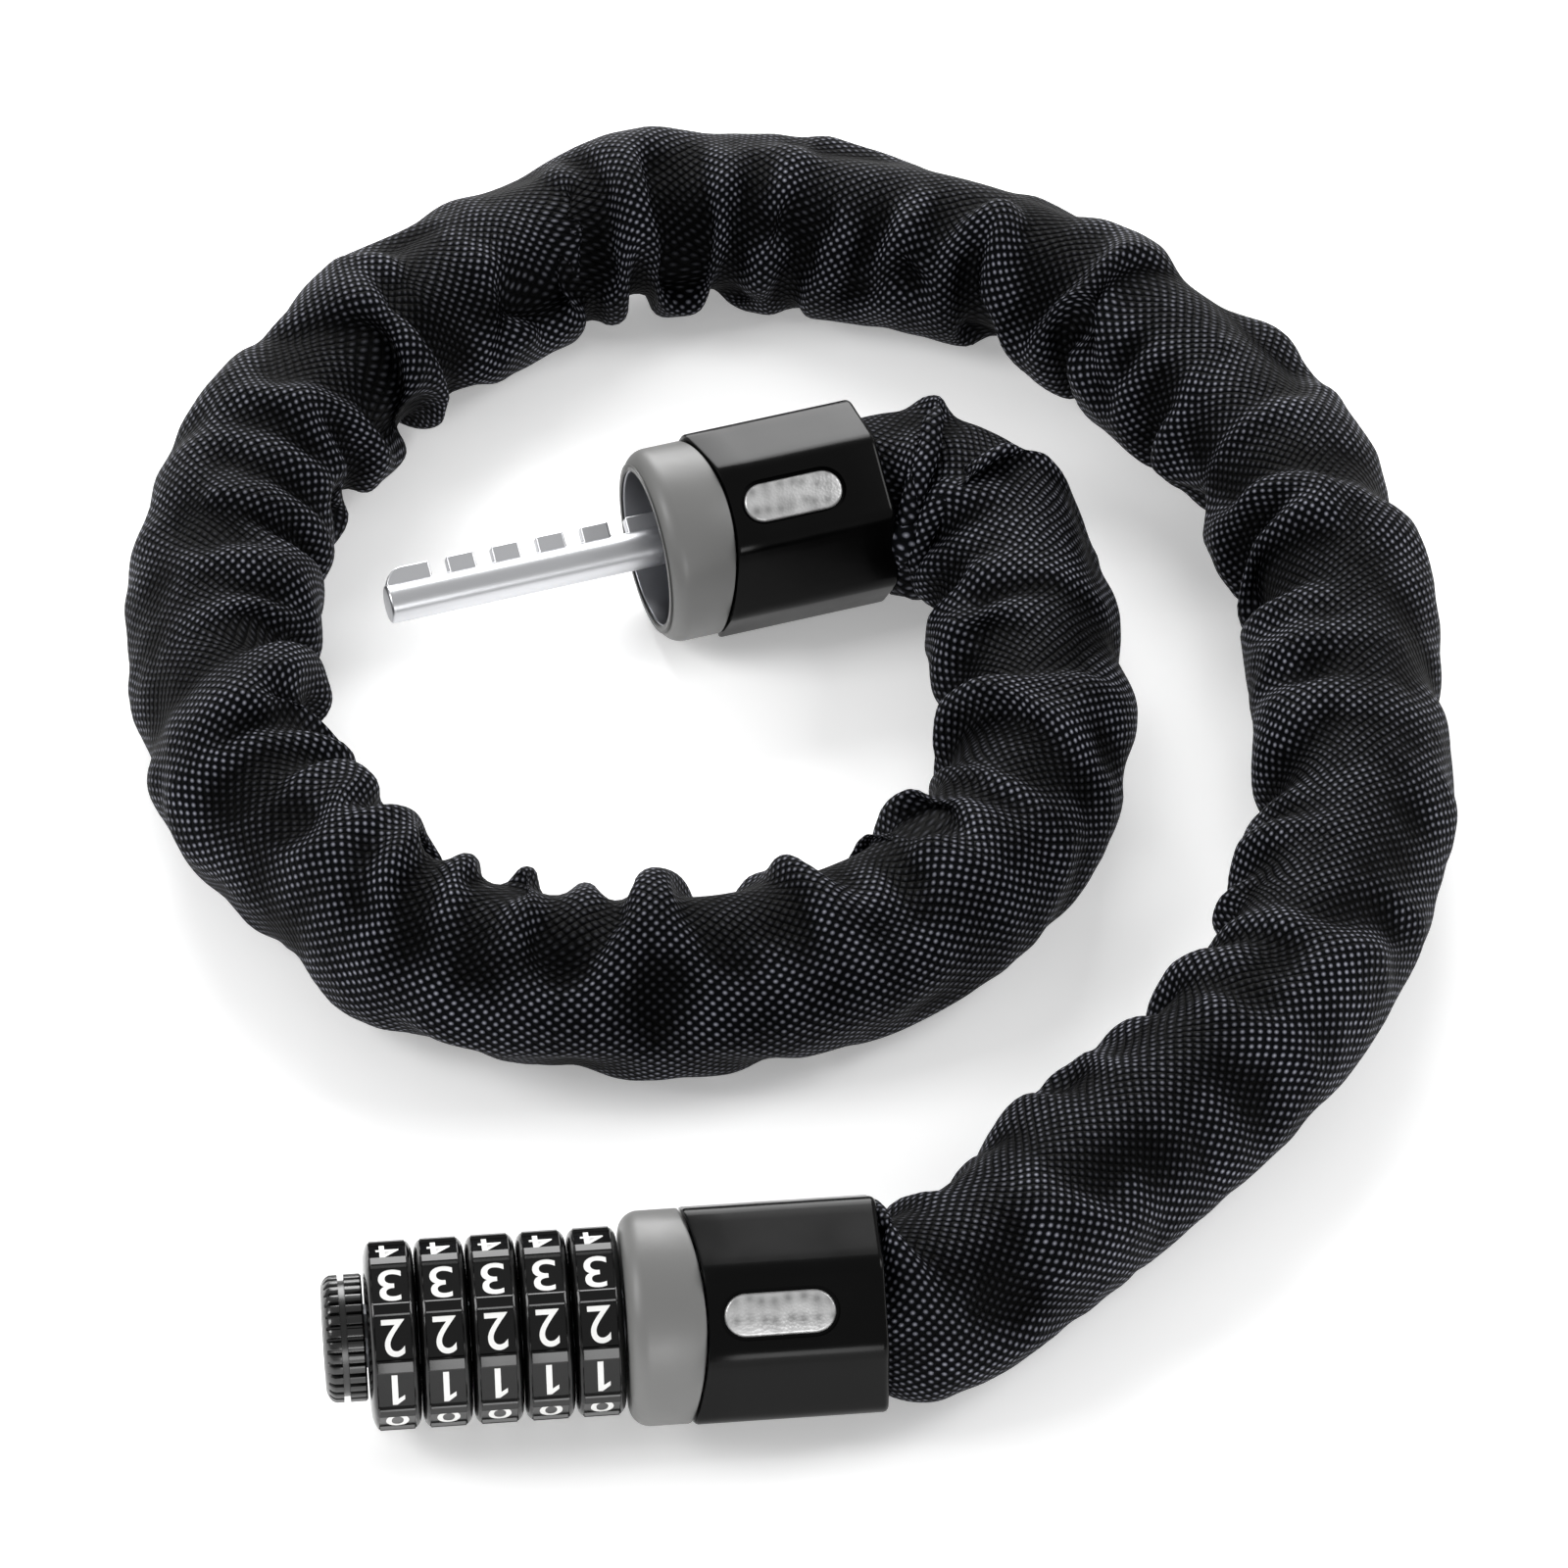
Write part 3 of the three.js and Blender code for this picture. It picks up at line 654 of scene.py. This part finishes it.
def closed_skin(bm, name, smooth=True):
    """Merges doubles, turns every face outwards and makes the mesh."""
    bmesh.ops.remove_doubles(bm, verts=bm.verts, dist=0.001)
    bmesh.ops.recalc_face_normals(bm, faces=bm.faces)
    if bm.calc_volume(signed=True) < 0:
        bmesh.ops.reverse_faces(bm, faces=bm.faces)
    return mesh_from(bm, name, smooth)


def closed_loft(sections, name):
    """Joins rings of points, and the last ring to the first, into one closed skin."""
    bm = bmesh.new()
    rows = [[bm.verts.new(p) for p in section] for section in sections]
    for row, after in zip(rows, rows[1:] + rows[:1]):
        for k in range(len(row)):
            bm.faces.new((row[k - 1], row[k], after[k], after[k - 1]))
    return closed_skin(bm, name)


def around(radius, x, steps):
    """A ring of points round the X axis, starting on +Z and turning towards +Y."""
    turns = [2 * math.pi * k / steps for k in range(steps)]
    return [Vector((x, radius * math.sin(t), radius * math.cos(t))) for t in turns]


def place_piece(mesh, head, material, body, stands_for=()):
    """Puts a mesh drawn in a head's own millimetres into the scene as a piece."""
    mesh.transform(HEADS[head])
    piece = new_object(mesh.name, mesh, material)
    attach(piece, body)
    if stands_for:
        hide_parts(*stands_for)
    return piece


def soften(piece, width, segments=2, angle=35):
    """Rounds a piece's sharp edges and keeps its broad faces flat."""
    bevel = piece.modifiers.new("edges", "BEVEL")
    bevel.width = width * MM
    bevel.segments = segments
    bevel.limit_method = "ANGLE"
    bevel.angle_limit = math.radians(angle)
    bevel.harden_normals = True


def moulded(name, colour, roughness, grain_mm, depth, **sockets):
    """Moulded plastic with a fine spark-eroded grain and slightly uneven gloss."""
    material, tree, shader = new_material(name, colour, Roughness=roughness, **sockets)
    place = node(tree, "ShaderNodeTexCoord").outputs["Object"]
    grain = node(tree, "ShaderNodeTexNoise", Vector=place, Scale=1 / (grain_mm * MM), Detail=2.0)
    bump = node(
        tree, "ShaderNodeBump", Height=grain.outputs[0], Strength=0.5, Distance=depth * MM
    )
    wear = node(tree, "ShaderNodeTexNoise", Vector=place, Scale=1 / (9 * MM), Detail=3.0)
    gloss = node(
        tree, "ShaderNodeMapRange", Value=wear.outputs[0],
        From_Min=0.3, From_Max=0.7, To_Min=roughness * 0.85, To_Max=roughness * 1.2,
    )
    tree.links.new(bump.outputs[0], shader.inputs["Normal"])
    tree.links.new(gloss.outputs[0], shader.inputs["Roughness"])
    return material


grey_nylon = moulded("grey nylon", "#717170", 0.42, 0.35, 0.012)


def ring_mesh(name, bore):
    """A collar ring, from its bore over the rounded face to the curved rear edge."""
    rounding = FACE_ROUNDING
    front = [(bore, RING_FACE + 2.5), *arc(bore + 0.5, RING_FACE + 0.5, 0.5, 180, 270, 4)]
    front += arc(RING_RADIUS - rounding, RING_FACE + rounding, rounding, 270, 360, 14)
    sections = [around(r, x, RING_STEPS) for r, x in front]
    for inset, back in ((0.0, 0.35), (0.1, 0.1), (0.35, 0.0)):
        ring = around(RING_RADIUS - inset, 0, RING_STEPS)
        sections.append([Vector((seam_x(p.y) - back, p.y, p.z)) for p in ring])
    ring = around(bore, 0, RING_STEPS)
    sections.append([Vector((seam_x(p.y), p.y, p.z)) for p in ring])
    return closed_loft(sections, name)


for head, bore in (("lock", 5.3), ("pin", 14.1)):
    ring = ring_mesh(head + "_ring_moulding", bore)
    place_piece(ring, head, grey_nylon, "lock_body", [head + "_ring"])


# ---------------------------------------------------------------- black collars
# Eight-sided sleeves of glossy black ABS, moulded in one piece with rounded corners, a pill
# shaped recess for the badge and a thin lip at the rear where the cloth goes in.
ACROSS_FLATS = 33.0
CORNER_RADIUS = 4.0
COLLAR_REAR = 15.0
COLLAR_BORE = 14.2
BADGE_X, BADGE_LENGTH, BADGE_WIDTH = -1.2, 17.0, 6.6
RECESS_DEPTH, RECESS_GAP = 1.3, 0.6
BADGE_LOW, BADGE_HIGH, BADGE_ROUNDING = 1.2, 0.1, 0.5
SEAM_GAP, LIP_ROUNDING, LIP_STEPS = 0.3, 0.9, 5

black_abs = moulded("black abs", "#030303", 0.22, 0.3, 0.006, Specular_IOR_Level=0.14)


def octagon(inset, corner_steps=8, flat_steps=6):
    """The collar's outline in (y, z), drawn in by inset."""
    face = ACROSS_FLATS / 2 - inset
    radius = CORNER_RADIUS - inset
    distance = (ACROSS_FLATS / 2 - CORNER_RADIUS) / math.cos(EIGHTH_TURN / 2)
    outline = []
    for corner in range(8):
        middle = (corner + 0.5) * EIGHTH_TURN
        centre = Vector((distance * math.sin(middle), distance * math.cos(middle)))
        for step in range(corner_steps + 1):
            turn = middle + EIGHTH_TURN * (step / corner_steps - 0.5)
            outline.append(centre + Vector((math.sin(turn), math.cos(turn))) * radius)
        turn = (corner + 1) * EIGHTH_TURN
        last = outline[-1]
        after = last + 2 * (Vector((math.sin(turn), math.cos(turn))) * face - last)
        outline += [last.lerp(after, i / flat_steps) for i in range(1, flat_steps)]
    return outline


def pill(length, width, grow, z, steps=16):
    """The badge's outline at height z: two half circles joined by straight sides."""
    half = (length - width) / 2
    points = []
    for side in (1, -1):
        for step in range(steps + 1):
            turn = math.pi * (step / steps - 0.5)
            x = side * (half + (width / 2 + grow) * math.cos(turn))
            points.append(Vector((BADGE_X + x, side * (width / 2 + grow) * math.sin(turn), z)))
    return points


def solid_pill(length, width, grow, low, high, rounding, name):
    """A pill-shaped block from low to high, with its top edge rounded."""
    sections = [pill(length, width, grow, low)]
    for step in range(5):
        turn = math.pi / 2 * step / 4
        inset = rounding * (1 - math.cos(turn))
        sections.append(pill(length, width, grow - inset, high - rounding * (1 - math.sin(turn))))
    bm = bmesh.new()
    rows = [[bm.verts.new(p) for p in section] for section in sections]
    for row, after in zip(rows, rows[1:]):
        for k in range(len(row)):
            bm.faces.new((row[k - 1], row[k], after[k], after[k - 1]))
    bm.faces.new(rows[0])
    bm.faces.new(rows[-1])
    return closed_skin(bm, name)


def collar_mesh(name):
    """A collar from its curved front edge to the rear lip, with the badge's recess cut in."""
    def seam(point):
        return seam_x(point.x, SEAM_GAP)

    bore = [Vector((p.x, p.y)).normalized() * COLLAR_BORE for p in octagon(0)]
    sections = [[Vector((seam(p), p.x, p.y)) for p in bore]]
    for inset, back in ((0.5, 0.0), (0.15, 0.12), (0.0, 0.5)):
        sections.append([Vector((seam(p) + back, p.x, p.y)) for p in octagon(inset)])
    for share in (0.2, 0.4, 0.6, 0.8):
        sections.append([
            Vector((seam(p) + (COLLAR_REAR - 1 - seam(p)) * share, p.x, p.y)) for p in octagon(0)
        ])
    for step in range(LIP_STEPS + 1):
        turn = math.pi / 2 * step / LIP_STEPS
        inset = LIP_ROUNDING * (1 - math.cos(turn))
        x = COLLAR_REAR - LIP_ROUNDING + LIP_ROUNDING * math.sin(turn)
        sections.append([Vector((x, p.x, p.y)) for p in octagon(inset)])
    sections.append([Vector((COLLAR_REAR - 0.3, p.x, p.y)) for p in bore])
    sections.append([Vector((COLLAR_REAR - 4, p.x, p.y)) for p in bore])
    mesh = closed_loft(sections, name)
    body = bpy.data.objects.new("uncut", mesh)
    top = ACROSS_FLATS / 2
    cutter = bpy.data.objects.new("cutter", solid_pill(
        BADGE_LENGTH, BADGE_WIDTH, RECESS_GAP, top - RECESS_DEPTH, top + 2, 0.1, "recess"
    ))
    for thing in (body, cutter):
        bpy.context.scene.collection.objects.link(thing)
    cut = body.modifiers.new("recess", "BOOLEAN")
    cut.object = cutter
    cut.solver = "EXACT"
    graph = bpy.context.evaluated_depsgraph_get()
    made = bpy.data.meshes.new_from_object(body.evaluated_get(graph))
    for thing in (body, cutter):
        bpy.data.objects.remove(thing)
    bpy.data.meshes.remove(mesh)
    made.name = name
    made.shade_smooth()
    return made


def badge_film():
    """Bright foil on a domed badge, stippled with a fine embossed grid."""
    material, tree, shader = new_material(
        "embossed foil", "#c9cacc", Metallic=0.55, Roughness=0.38
    )
    place = node(tree, "ShaderNodeTexCoord").outputs["Object"]
    stipple = node(tree, "ShaderNodeTexVoronoi", Vector=place, Scale=1 / (0.5 * MM))
    patch = node(
        tree, "ShaderNodeTexVoronoi", {"feature": "SMOOTH_F1"}, Vector=place,
        Scale=1 / (2.1 * MM), Randomness=0.35,
    )
    tone = node(
        tree, "ShaderNodeMapRange", Value=patch.outputs[0],
        From_Min=0.1, From_Max=0.6, To_Min=0.3, To_Max=0.62,
    )
    bump = node(
        tree, "ShaderNodeBump", Height=stipple.outputs[0], Strength=0.7, Distance=0.05 * MM
    )
    tree.links.new(tone.outputs[0], shader.inputs["Base Color"])
    tree.links.new(bump.outputs[0], shader.inputs["Normal"])
    return material


foil = badge_film()
for head in HEADS:
    shell = collar_mesh(head + "_collar_moulding")
    shell.set_sharp_from_angle(angle=math.radians(40))
    place_piece(shell, head, black_abs, "lock_body", [head + "_collar"])
    top = ACROSS_FLATS / 2
    plate = solid_pill(
        BADGE_LENGTH, BADGE_WIDTH, 0, top - BADGE_LOW, top - BADGE_HIGH, BADGE_ROUNDING,
        head + "_badge_plate",
    )
    place_piece(plate, head, foil, "lock_body", [head + "_badge"])


# ---------------------------------------------------------------- digit dials
# Five black dials of hard glossy plastic. Each has ten flat windows with a painted digit,
# parted by raised pads, between two rounded shoulders. The second digit is under the badge line.
DIAL_COUNT, DIAL_PITCH, DIALS_FRONT = 5, 7.8, -63.6
DIAL_BORE, SHOULDER_RADIUS, DIAL_FLOOR = 9.3, 14.15, 13.45
WINDOW_WIDTH, PAD_WIDTH, PAD_RADIUS = 5.5, 2.3, 14.4
DIAL_HALF = 3.82

dial_black = moulded("glossy black plastic", "#030303", 0.16, 0.6, 0.003, Specular_IOR_Level=0.42)


def dial_outline(height):
    """One ring of a dial's rim as (angle, radius), from the window floors to the shoulders."""
    points = []
    pad = PAD_WIDTH / 2 / PAD_RADIUS
    edge = math.pi / 10 - pad
    for digit in range(10):
        middle = digit * math.pi / 5
        for step in range(9):
            turn = 2 * edge * (step / 8 - 0.5)
            floor = DIAL_FLOOR / math.cos(turn)
            points.append((middle + turn, floor + (SHOULDER_RADIUS - floor) * height))
        top = PAD_RADIUS / math.cos(pad) + (SHOULDER_RADIUS - PAD_RADIUS) * height
        for share, drop in ((0.06, 0.15), (0.16, 0.0), (0.5, 0.01), (0.84, 0.0), (0.94, 0.15)):
            points.append((middle + edge + 2 * pad * share, top - drop * (1 - height)))
    return points


def dial_mesh(index, x):
    """One dial, centred at x: bore, front shoulder, windows, rear shoulder."""
    def ring(offset, height):
        return [Vector((x + offset, r * math.sin(t), r * math.cos(t)))
                for t, r in dial_outline(height)]

    def plain(offset, radius):
        return [Vector((x + offset, radius * math.sin(t), radius * math.cos(t)))
                for t, _ in dial_outline(1)]

    window = WINDOW_WIDTH / 2
    shoulder = [(DIAL_HALF, 2.0), (DIAL_HALF - 0.1, 1.2), (DIAL_HALF - 0.3, 0.6),
                (DIAL_HALF - 0.65, 0.15)]
    first = [(DIAL_HALF, 2.6), (DIAL_HALF - 0.1, 1.8), (DIAL_HALF - 0.35, 0.9),
             (DIAL_HALF - 0.7, 0.15)]
    front = first if index == 0 else shoulder
    sections = [plain(-DIAL_HALF, DIAL_BORE)]
    sections += [plain(-offset, SHOULDER_RADIUS - drop) for offset, drop in front]
    sections += [ring(-window - 0.15, 1.0), ring(-window, 0.75), ring(-window + 0.06, 0.05)]
    sections += [ring(-window + 0.2, 0.0), ring(0, 0.0), ring(window - 0.2, 0.0)]
    sections += [ring(window - 0.06, 0.05), ring(window, 0.75), ring(window + 0.15, 1.0)]
    sections += [plain(offset, SHOULDER_RADIUS - drop) for offset, drop in reversed(shoulder)]
    sections.append(plain(DIAL_HALF, DIAL_BORE))
    mesh = closed_loft(sections, f"dial_{index + 1}_moulding")
    mesh.set_sharp_from_angle(angle=math.radians(32))
    return mesh


def digit_paint():
    """Thick white print with a slightly uneven surface."""
    material, tree, shader = new_material("white pad print", "#f4f4f2", Roughness=0.45)
    place = node(tree, "ShaderNodeTexCoord").outputs["Object"]
    uneven = node(tree, "ShaderNodeTexNoise", Vector=place, Scale=1 / (0.5 * MM), Detail=2.0)
    bump = node(
        tree, "ShaderNodeBump", Height=uneven.outputs[0], Strength=0.3, Distance=0.01 * MM
    )
    tree.links.new(bump.outputs[0], shader.inputs["Normal"])
    return material


white_paint = digit_paint()
DIGIT_HEIGHT, DIGIT_WIDTH = 5.7, 3.5
PAINT_LIFT, PAINT_FILM = 0.03, 0.06
BOLDER = 0.004


def digit_one():
    """A bold stem with a short flag, in millimetres."""
    outline = ((0.65, -2.85), (0.65, 2.85), (-0.05, 2.85), (-1.25, 1.85), (-1.25, 1.05),
               (-0.25, 1.75), (-0.25, -2.85))
    bm = bmesh.new()
    bm.faces.new([bm.verts.new((x, y, 0)) for x, y in outline])
    return mesh_from(bm, "digit", False)


def digit_mesh(character):
    """A bold digit in its own plane, centred, in millimetres."""
    if character == "1":
        return digit_one()
    curve = bpy.data.curves.new("digit", "FONT")
    curve.body = character
    curve.offset = BOLDER
    curve.resolution_u = 6
    text = bpy.data.objects.new("digit", curve)
    bpy.context.scene.collection.objects.link(text)
    graph = bpy.context.evaluated_depsgraph_get()
    mesh = bpy.data.meshes.new_from_object(text.evaluated_get(graph))
    bpy.data.objects.remove(text)
    low = [min(v.co[i] for v in mesh.vertices) for i in (0, 1)]
    high = [max(v.co[i] for v in mesh.vertices) for i in (0, 1)]
    centre = Matrix.Translation((-(low[0] + high[0]) / 2, -(low[1] + high[1]) / 2, 0))
    width, height = high[0] - low[0], high[1] - low[1]
    size = Matrix.Diagonal((DIGIT_WIDTH / width, DIGIT_HEIGHT / height, 1, 1))
    mesh.transform(size @ centre)
    return mesh


def painted(flat):
    """Gives a flat digit the paint's thickness, down into the window's floor."""
    bm = bmesh.new()
    bm.from_mesh(flat)
    bpy.data.meshes.remove(flat)
    bmesh.ops.remove_doubles(bm, verts=bm.verts, dist=0.001)
    film = bmesh.ops.extrude_face_region(bm, geom=bm.faces[:], use_keep_orig=True)
    sunk = [v for v in film["geom"] if isinstance(v, bmesh.types.BMVert)]
    bmesh.ops.translate(bm, verts=sunk, vec=(0, 0, -PAINT_FILM))
    return closed_skin(bm, "digit", False)


digits = [painted(digit_mesh(str(number))) for number in range(10)]
for index in range(DIAL_COUNT):
    x = DIALS_FRONT + (index + 0.5) * DIAL_PITCH
    unit = f"dial_unit_{index + 1}"
    dial = dial_mesh(index, x)
    place_piece(dial, "lock", dial_black, unit, [f"dial_{index + 1}"])
    bm = bmesh.new()
    for number, glyph in enumerate(digits):
        upside_down = Matrix.Rotation(math.pi, 4, "Z")
        stand = Matrix.Translation((x, 0, DIAL_FLOOR + PAINT_LIFT)) @ upside_down
        turn = Matrix.Rotation(-(number - 2) * math.pi / 5, 4, "X")
        copy = glyph.copy()
        copy.transform(turn @ stand)
        bm.from_mesh(copy)
        bpy.data.meshes.remove(copy)
    row = mesh_from(bm, f"dial_{index + 1}_digits", False)
    place_piece(row, "lock", white_paint, unit)


# ---------------------------------------------------------------- reset knob
# A black knob with thirty-one grip ribs in two rows, a groove between them and a rounded rim.
KNOB_FRONT, KNOB_REAR, KNOB_RADIUS, KNOB_BORE = -70.2, -63.9, 9.75, 5.3
KNOB_RIBS, RIB_DEPTH = 31, 0.75
KNOB_RECESS, RECESS_BACK, GROOVE_DEPTH = 7.4, 2.6, 0.9


def knob_mesh():
    """The knob from its rear recess through the bore and round the ribbed rim."""
    def ring(x, radius, depth):
        points = []
        for rib in range(KNOB_RIBS):
            for share, drop in ((0.0, 1), (0.14, 1), (0.26, 0.1), (0.34, 0), (0.5, 0),
                                (0.66, 0), (0.74, 0), (0.86, 0.1)):
                turn = 2 * math.pi * (rib + share) / KNOB_RIBS
                reach = radius - depth * drop
                points.append(Vector((x, reach * math.sin(turn), reach * math.cos(turn))))
        return points

    middle = (KNOB_FRONT + KNOB_REAR) / 2
    profile = [
        (KNOB_REAR, KNOB_RECESS, 0), (KNOB_REAR - RECESS_BACK, KNOB_RECESS, 0),
        (KNOB_REAR - RECESS_BACK, KNOB_BORE, 0),
        (KNOB_FRONT + 0.4, KNOB_BORE, 0), (KNOB_FRONT, KNOB_BORE + 0.4, 0),
        (KNOB_FRONT, KNOB_RADIUS - 2.2, 0), (KNOB_FRONT + 0.12, KNOB_RADIUS - 1.5, 0),
        (KNOB_FRONT + 0.45, KNOB_RADIUS - 0.8, 0.1), (KNOB_FRONT + 0.9, KNOB_RADIUS - 0.3, 0.5),
        (KNOB_FRONT + 1.4, KNOB_RADIUS - 0.03, RIB_DEPTH), (middle - 0.5, KNOB_RADIUS, RIB_DEPTH),
        (middle - 0.45, KNOB_RADIUS - GROOVE_DEPTH, 0),
        (middle + 0.45, KNOB_RADIUS - GROOVE_DEPTH, 0),
        (middle + 0.5, KNOB_RADIUS, RIB_DEPTH), (KNOB_REAR - 0.3, KNOB_RADIUS, RIB_DEPTH),
        (KNOB_REAR, KNOB_RADIUS - 0.3, RIB_DEPTH),
    ]
    mesh = closed_loft([ring(*step) for step in profile], "reset_knob_moulding")
    mesh.set_sharp_from_angle(angle=math.radians(35))
    return mesh


knob_black = moulded("satin black plastic", "#060606", 0.28, 0.3, 0.008, Specular_IOR_Level=0.8)
place_piece(knob_mesh(), "lock", knob_black, "knob", ["reset_knob"])
dress("lock_barrel", zinc_steel)
for index in range(DIAL_COUNT):
    dress(f"code_ring_{index + 1}", turned_brass)


# ---------------------------------------------------------------- locking pin and cup
# A bright nickel-plated steel pin with a toothed blade along one side. It stands in a cup of
# duller pressed steel that lines the head's recess; the cup's grey is also darkened as painted
# shade for the deep recess.
PIN_RADIUS, PIN_TIP, PIN_END = 3.25, -69.3, -8.6
BLADE_TOP, BLADE_FOOT, BLADE_HALF = 5.75, 2.0, 1.3
TOOTH_GAP, BLADE_ROOT = 3.0, -17.3
BAR_AXIS = 0.01

plated_steel = grained_metal("nickel plated steel", "#dcdde0", 0.36, 0.5, 0.004)
# Duller pressed steel, its grey darkened further as painted shade for the deep recess.
shade_darkened_cup_steel = grained_metal("pressed cup steel", "#8b8c90", 0.34, 0.6, 0.006)


def lathe(profile, steps, name):
    """Spins a closed profile of (radius, x) once round the X axis."""
    bm = bmesh.new()
    corners = [bm.verts.new((x, 0, radius)) for radius, x in profile]
    edges = [bm.edges.new(pair) for pair in zip(corners, corners[1:] + corners[:1])]
    bmesh.ops.spin(
        bm, geom=corners + edges, cent=(0, 0, 0), axis=(1, 0, 0), angle=2 * math.pi,
        steps=steps, use_merge=True,
    )
    return closed_skin(bm, name)


def blade_outline():
    """The blade's side view in (x, y): a ramp at the tip and a square gap for each dial."""
    outline = [(BLADE_ROOT, BLADE_FOOT), (PIN_TIP + 0.5, BLADE_FOOT)]
    outline += [(PIN_TIP + 0.5, PIN_RADIUS + 0.2), (PIN_TIP + 1.2, BLADE_TOP - 1.1)]
    outline += [(PIN_TIP + 2.2, BLADE_TOP - 0.25), (PIN_TIP + 3.2, BLADE_TOP)]
    for tooth in reversed(range(DIAL_COUNT)):
        middle = RING_FACE - DIAL_PITCH * (tooth + 0.5)
        low, high = middle - TOOTH_GAP / 2, middle + TOOTH_GAP / 2
        foot = PIN_RADIUS - 0.1
        outline += [(low, BLADE_TOP), (low, foot), (high, foot), (high, BLADE_TOP)]
    outline.append((BLADE_ROOT, BLADE_TOP))
    return outline


def pin_meshes():
    """The round bar with its rounded tip, and the toothed blade that stands on it."""
    profile = [(BAR_AXIS, PIN_TIP), (PIN_RADIUS - 0.5, PIN_TIP)]
    profile += arc(PIN_RADIUS - 0.5, PIN_TIP + 0.5, 0.5, 270, 360, 5)
    profile += [(PIN_RADIUS, PIN_END), (BAR_AXIS, PIN_END)]
    bar = lathe(profile, 96, "locking_pin_bar")
    bar.set_sharp_from_angle(angle=math.radians(40))
    bm = bmesh.new()
    flat = bm.faces.new([bm.verts.new((x, y, -BLADE_HALF)) for x, y in blade_outline()])
    raised = bmesh.ops.extrude_face_region(bm, geom=[flat])
    tops = [v for v in raised["geom"] if isinstance(v, bmesh.types.BMVert)]
    bmesh.ops.translate(bm, verts=tops, vec=(0, 0, 2 * BLADE_HALF))
    return bar, closed_skin(bm, "locking_pin_blade")


bar_mesh, blade_mesh = pin_meshes()
place_piece(bar_mesh, "pin", plated_steel, "lock_body", ["locking_pin"])
blade = place_piece(blade_mesh, "pin", plated_steel, "lock_body")
soften(blade, 0.35, 3)

CUP_RADIUS, CUP_WALL, CUP_HOLE = 13.8, 0.7, 3.4
CUP_FRONT, CUP_BACK, CUP_FLOOR = -24.1, -13.3, -14.3


def cup_profile():
    """The cup's wall in (radius, x): floor, rounded corner, rolled lip and back."""
    lip = CUP_WALL / 2
    profile = [(CUP_HOLE, CUP_FLOOR), (CUP_RADIUS - CUP_WALL - 1, CUP_FLOOR)]
    profile += arc(CUP_RADIUS - CUP_WALL - 1, CUP_FLOOR - 1, 1, 90, 0, 5)
    profile += arc(CUP_RADIUS - lip, CUP_FRONT + lip, lip, 180, 360, 8)
    profile += [(CUP_RADIUS, CUP_BACK), (CUP_HOLE, CUP_BACK)]
    return profile


cup = lathe(cup_profile(), 144, "pin_cup_pressing")
cup.set_sharp_from_angle(angle=math.radians(50))
place_piece(cup, "pin", shade_darkened_cup_steel, "lock_body", ["pin_cup"])
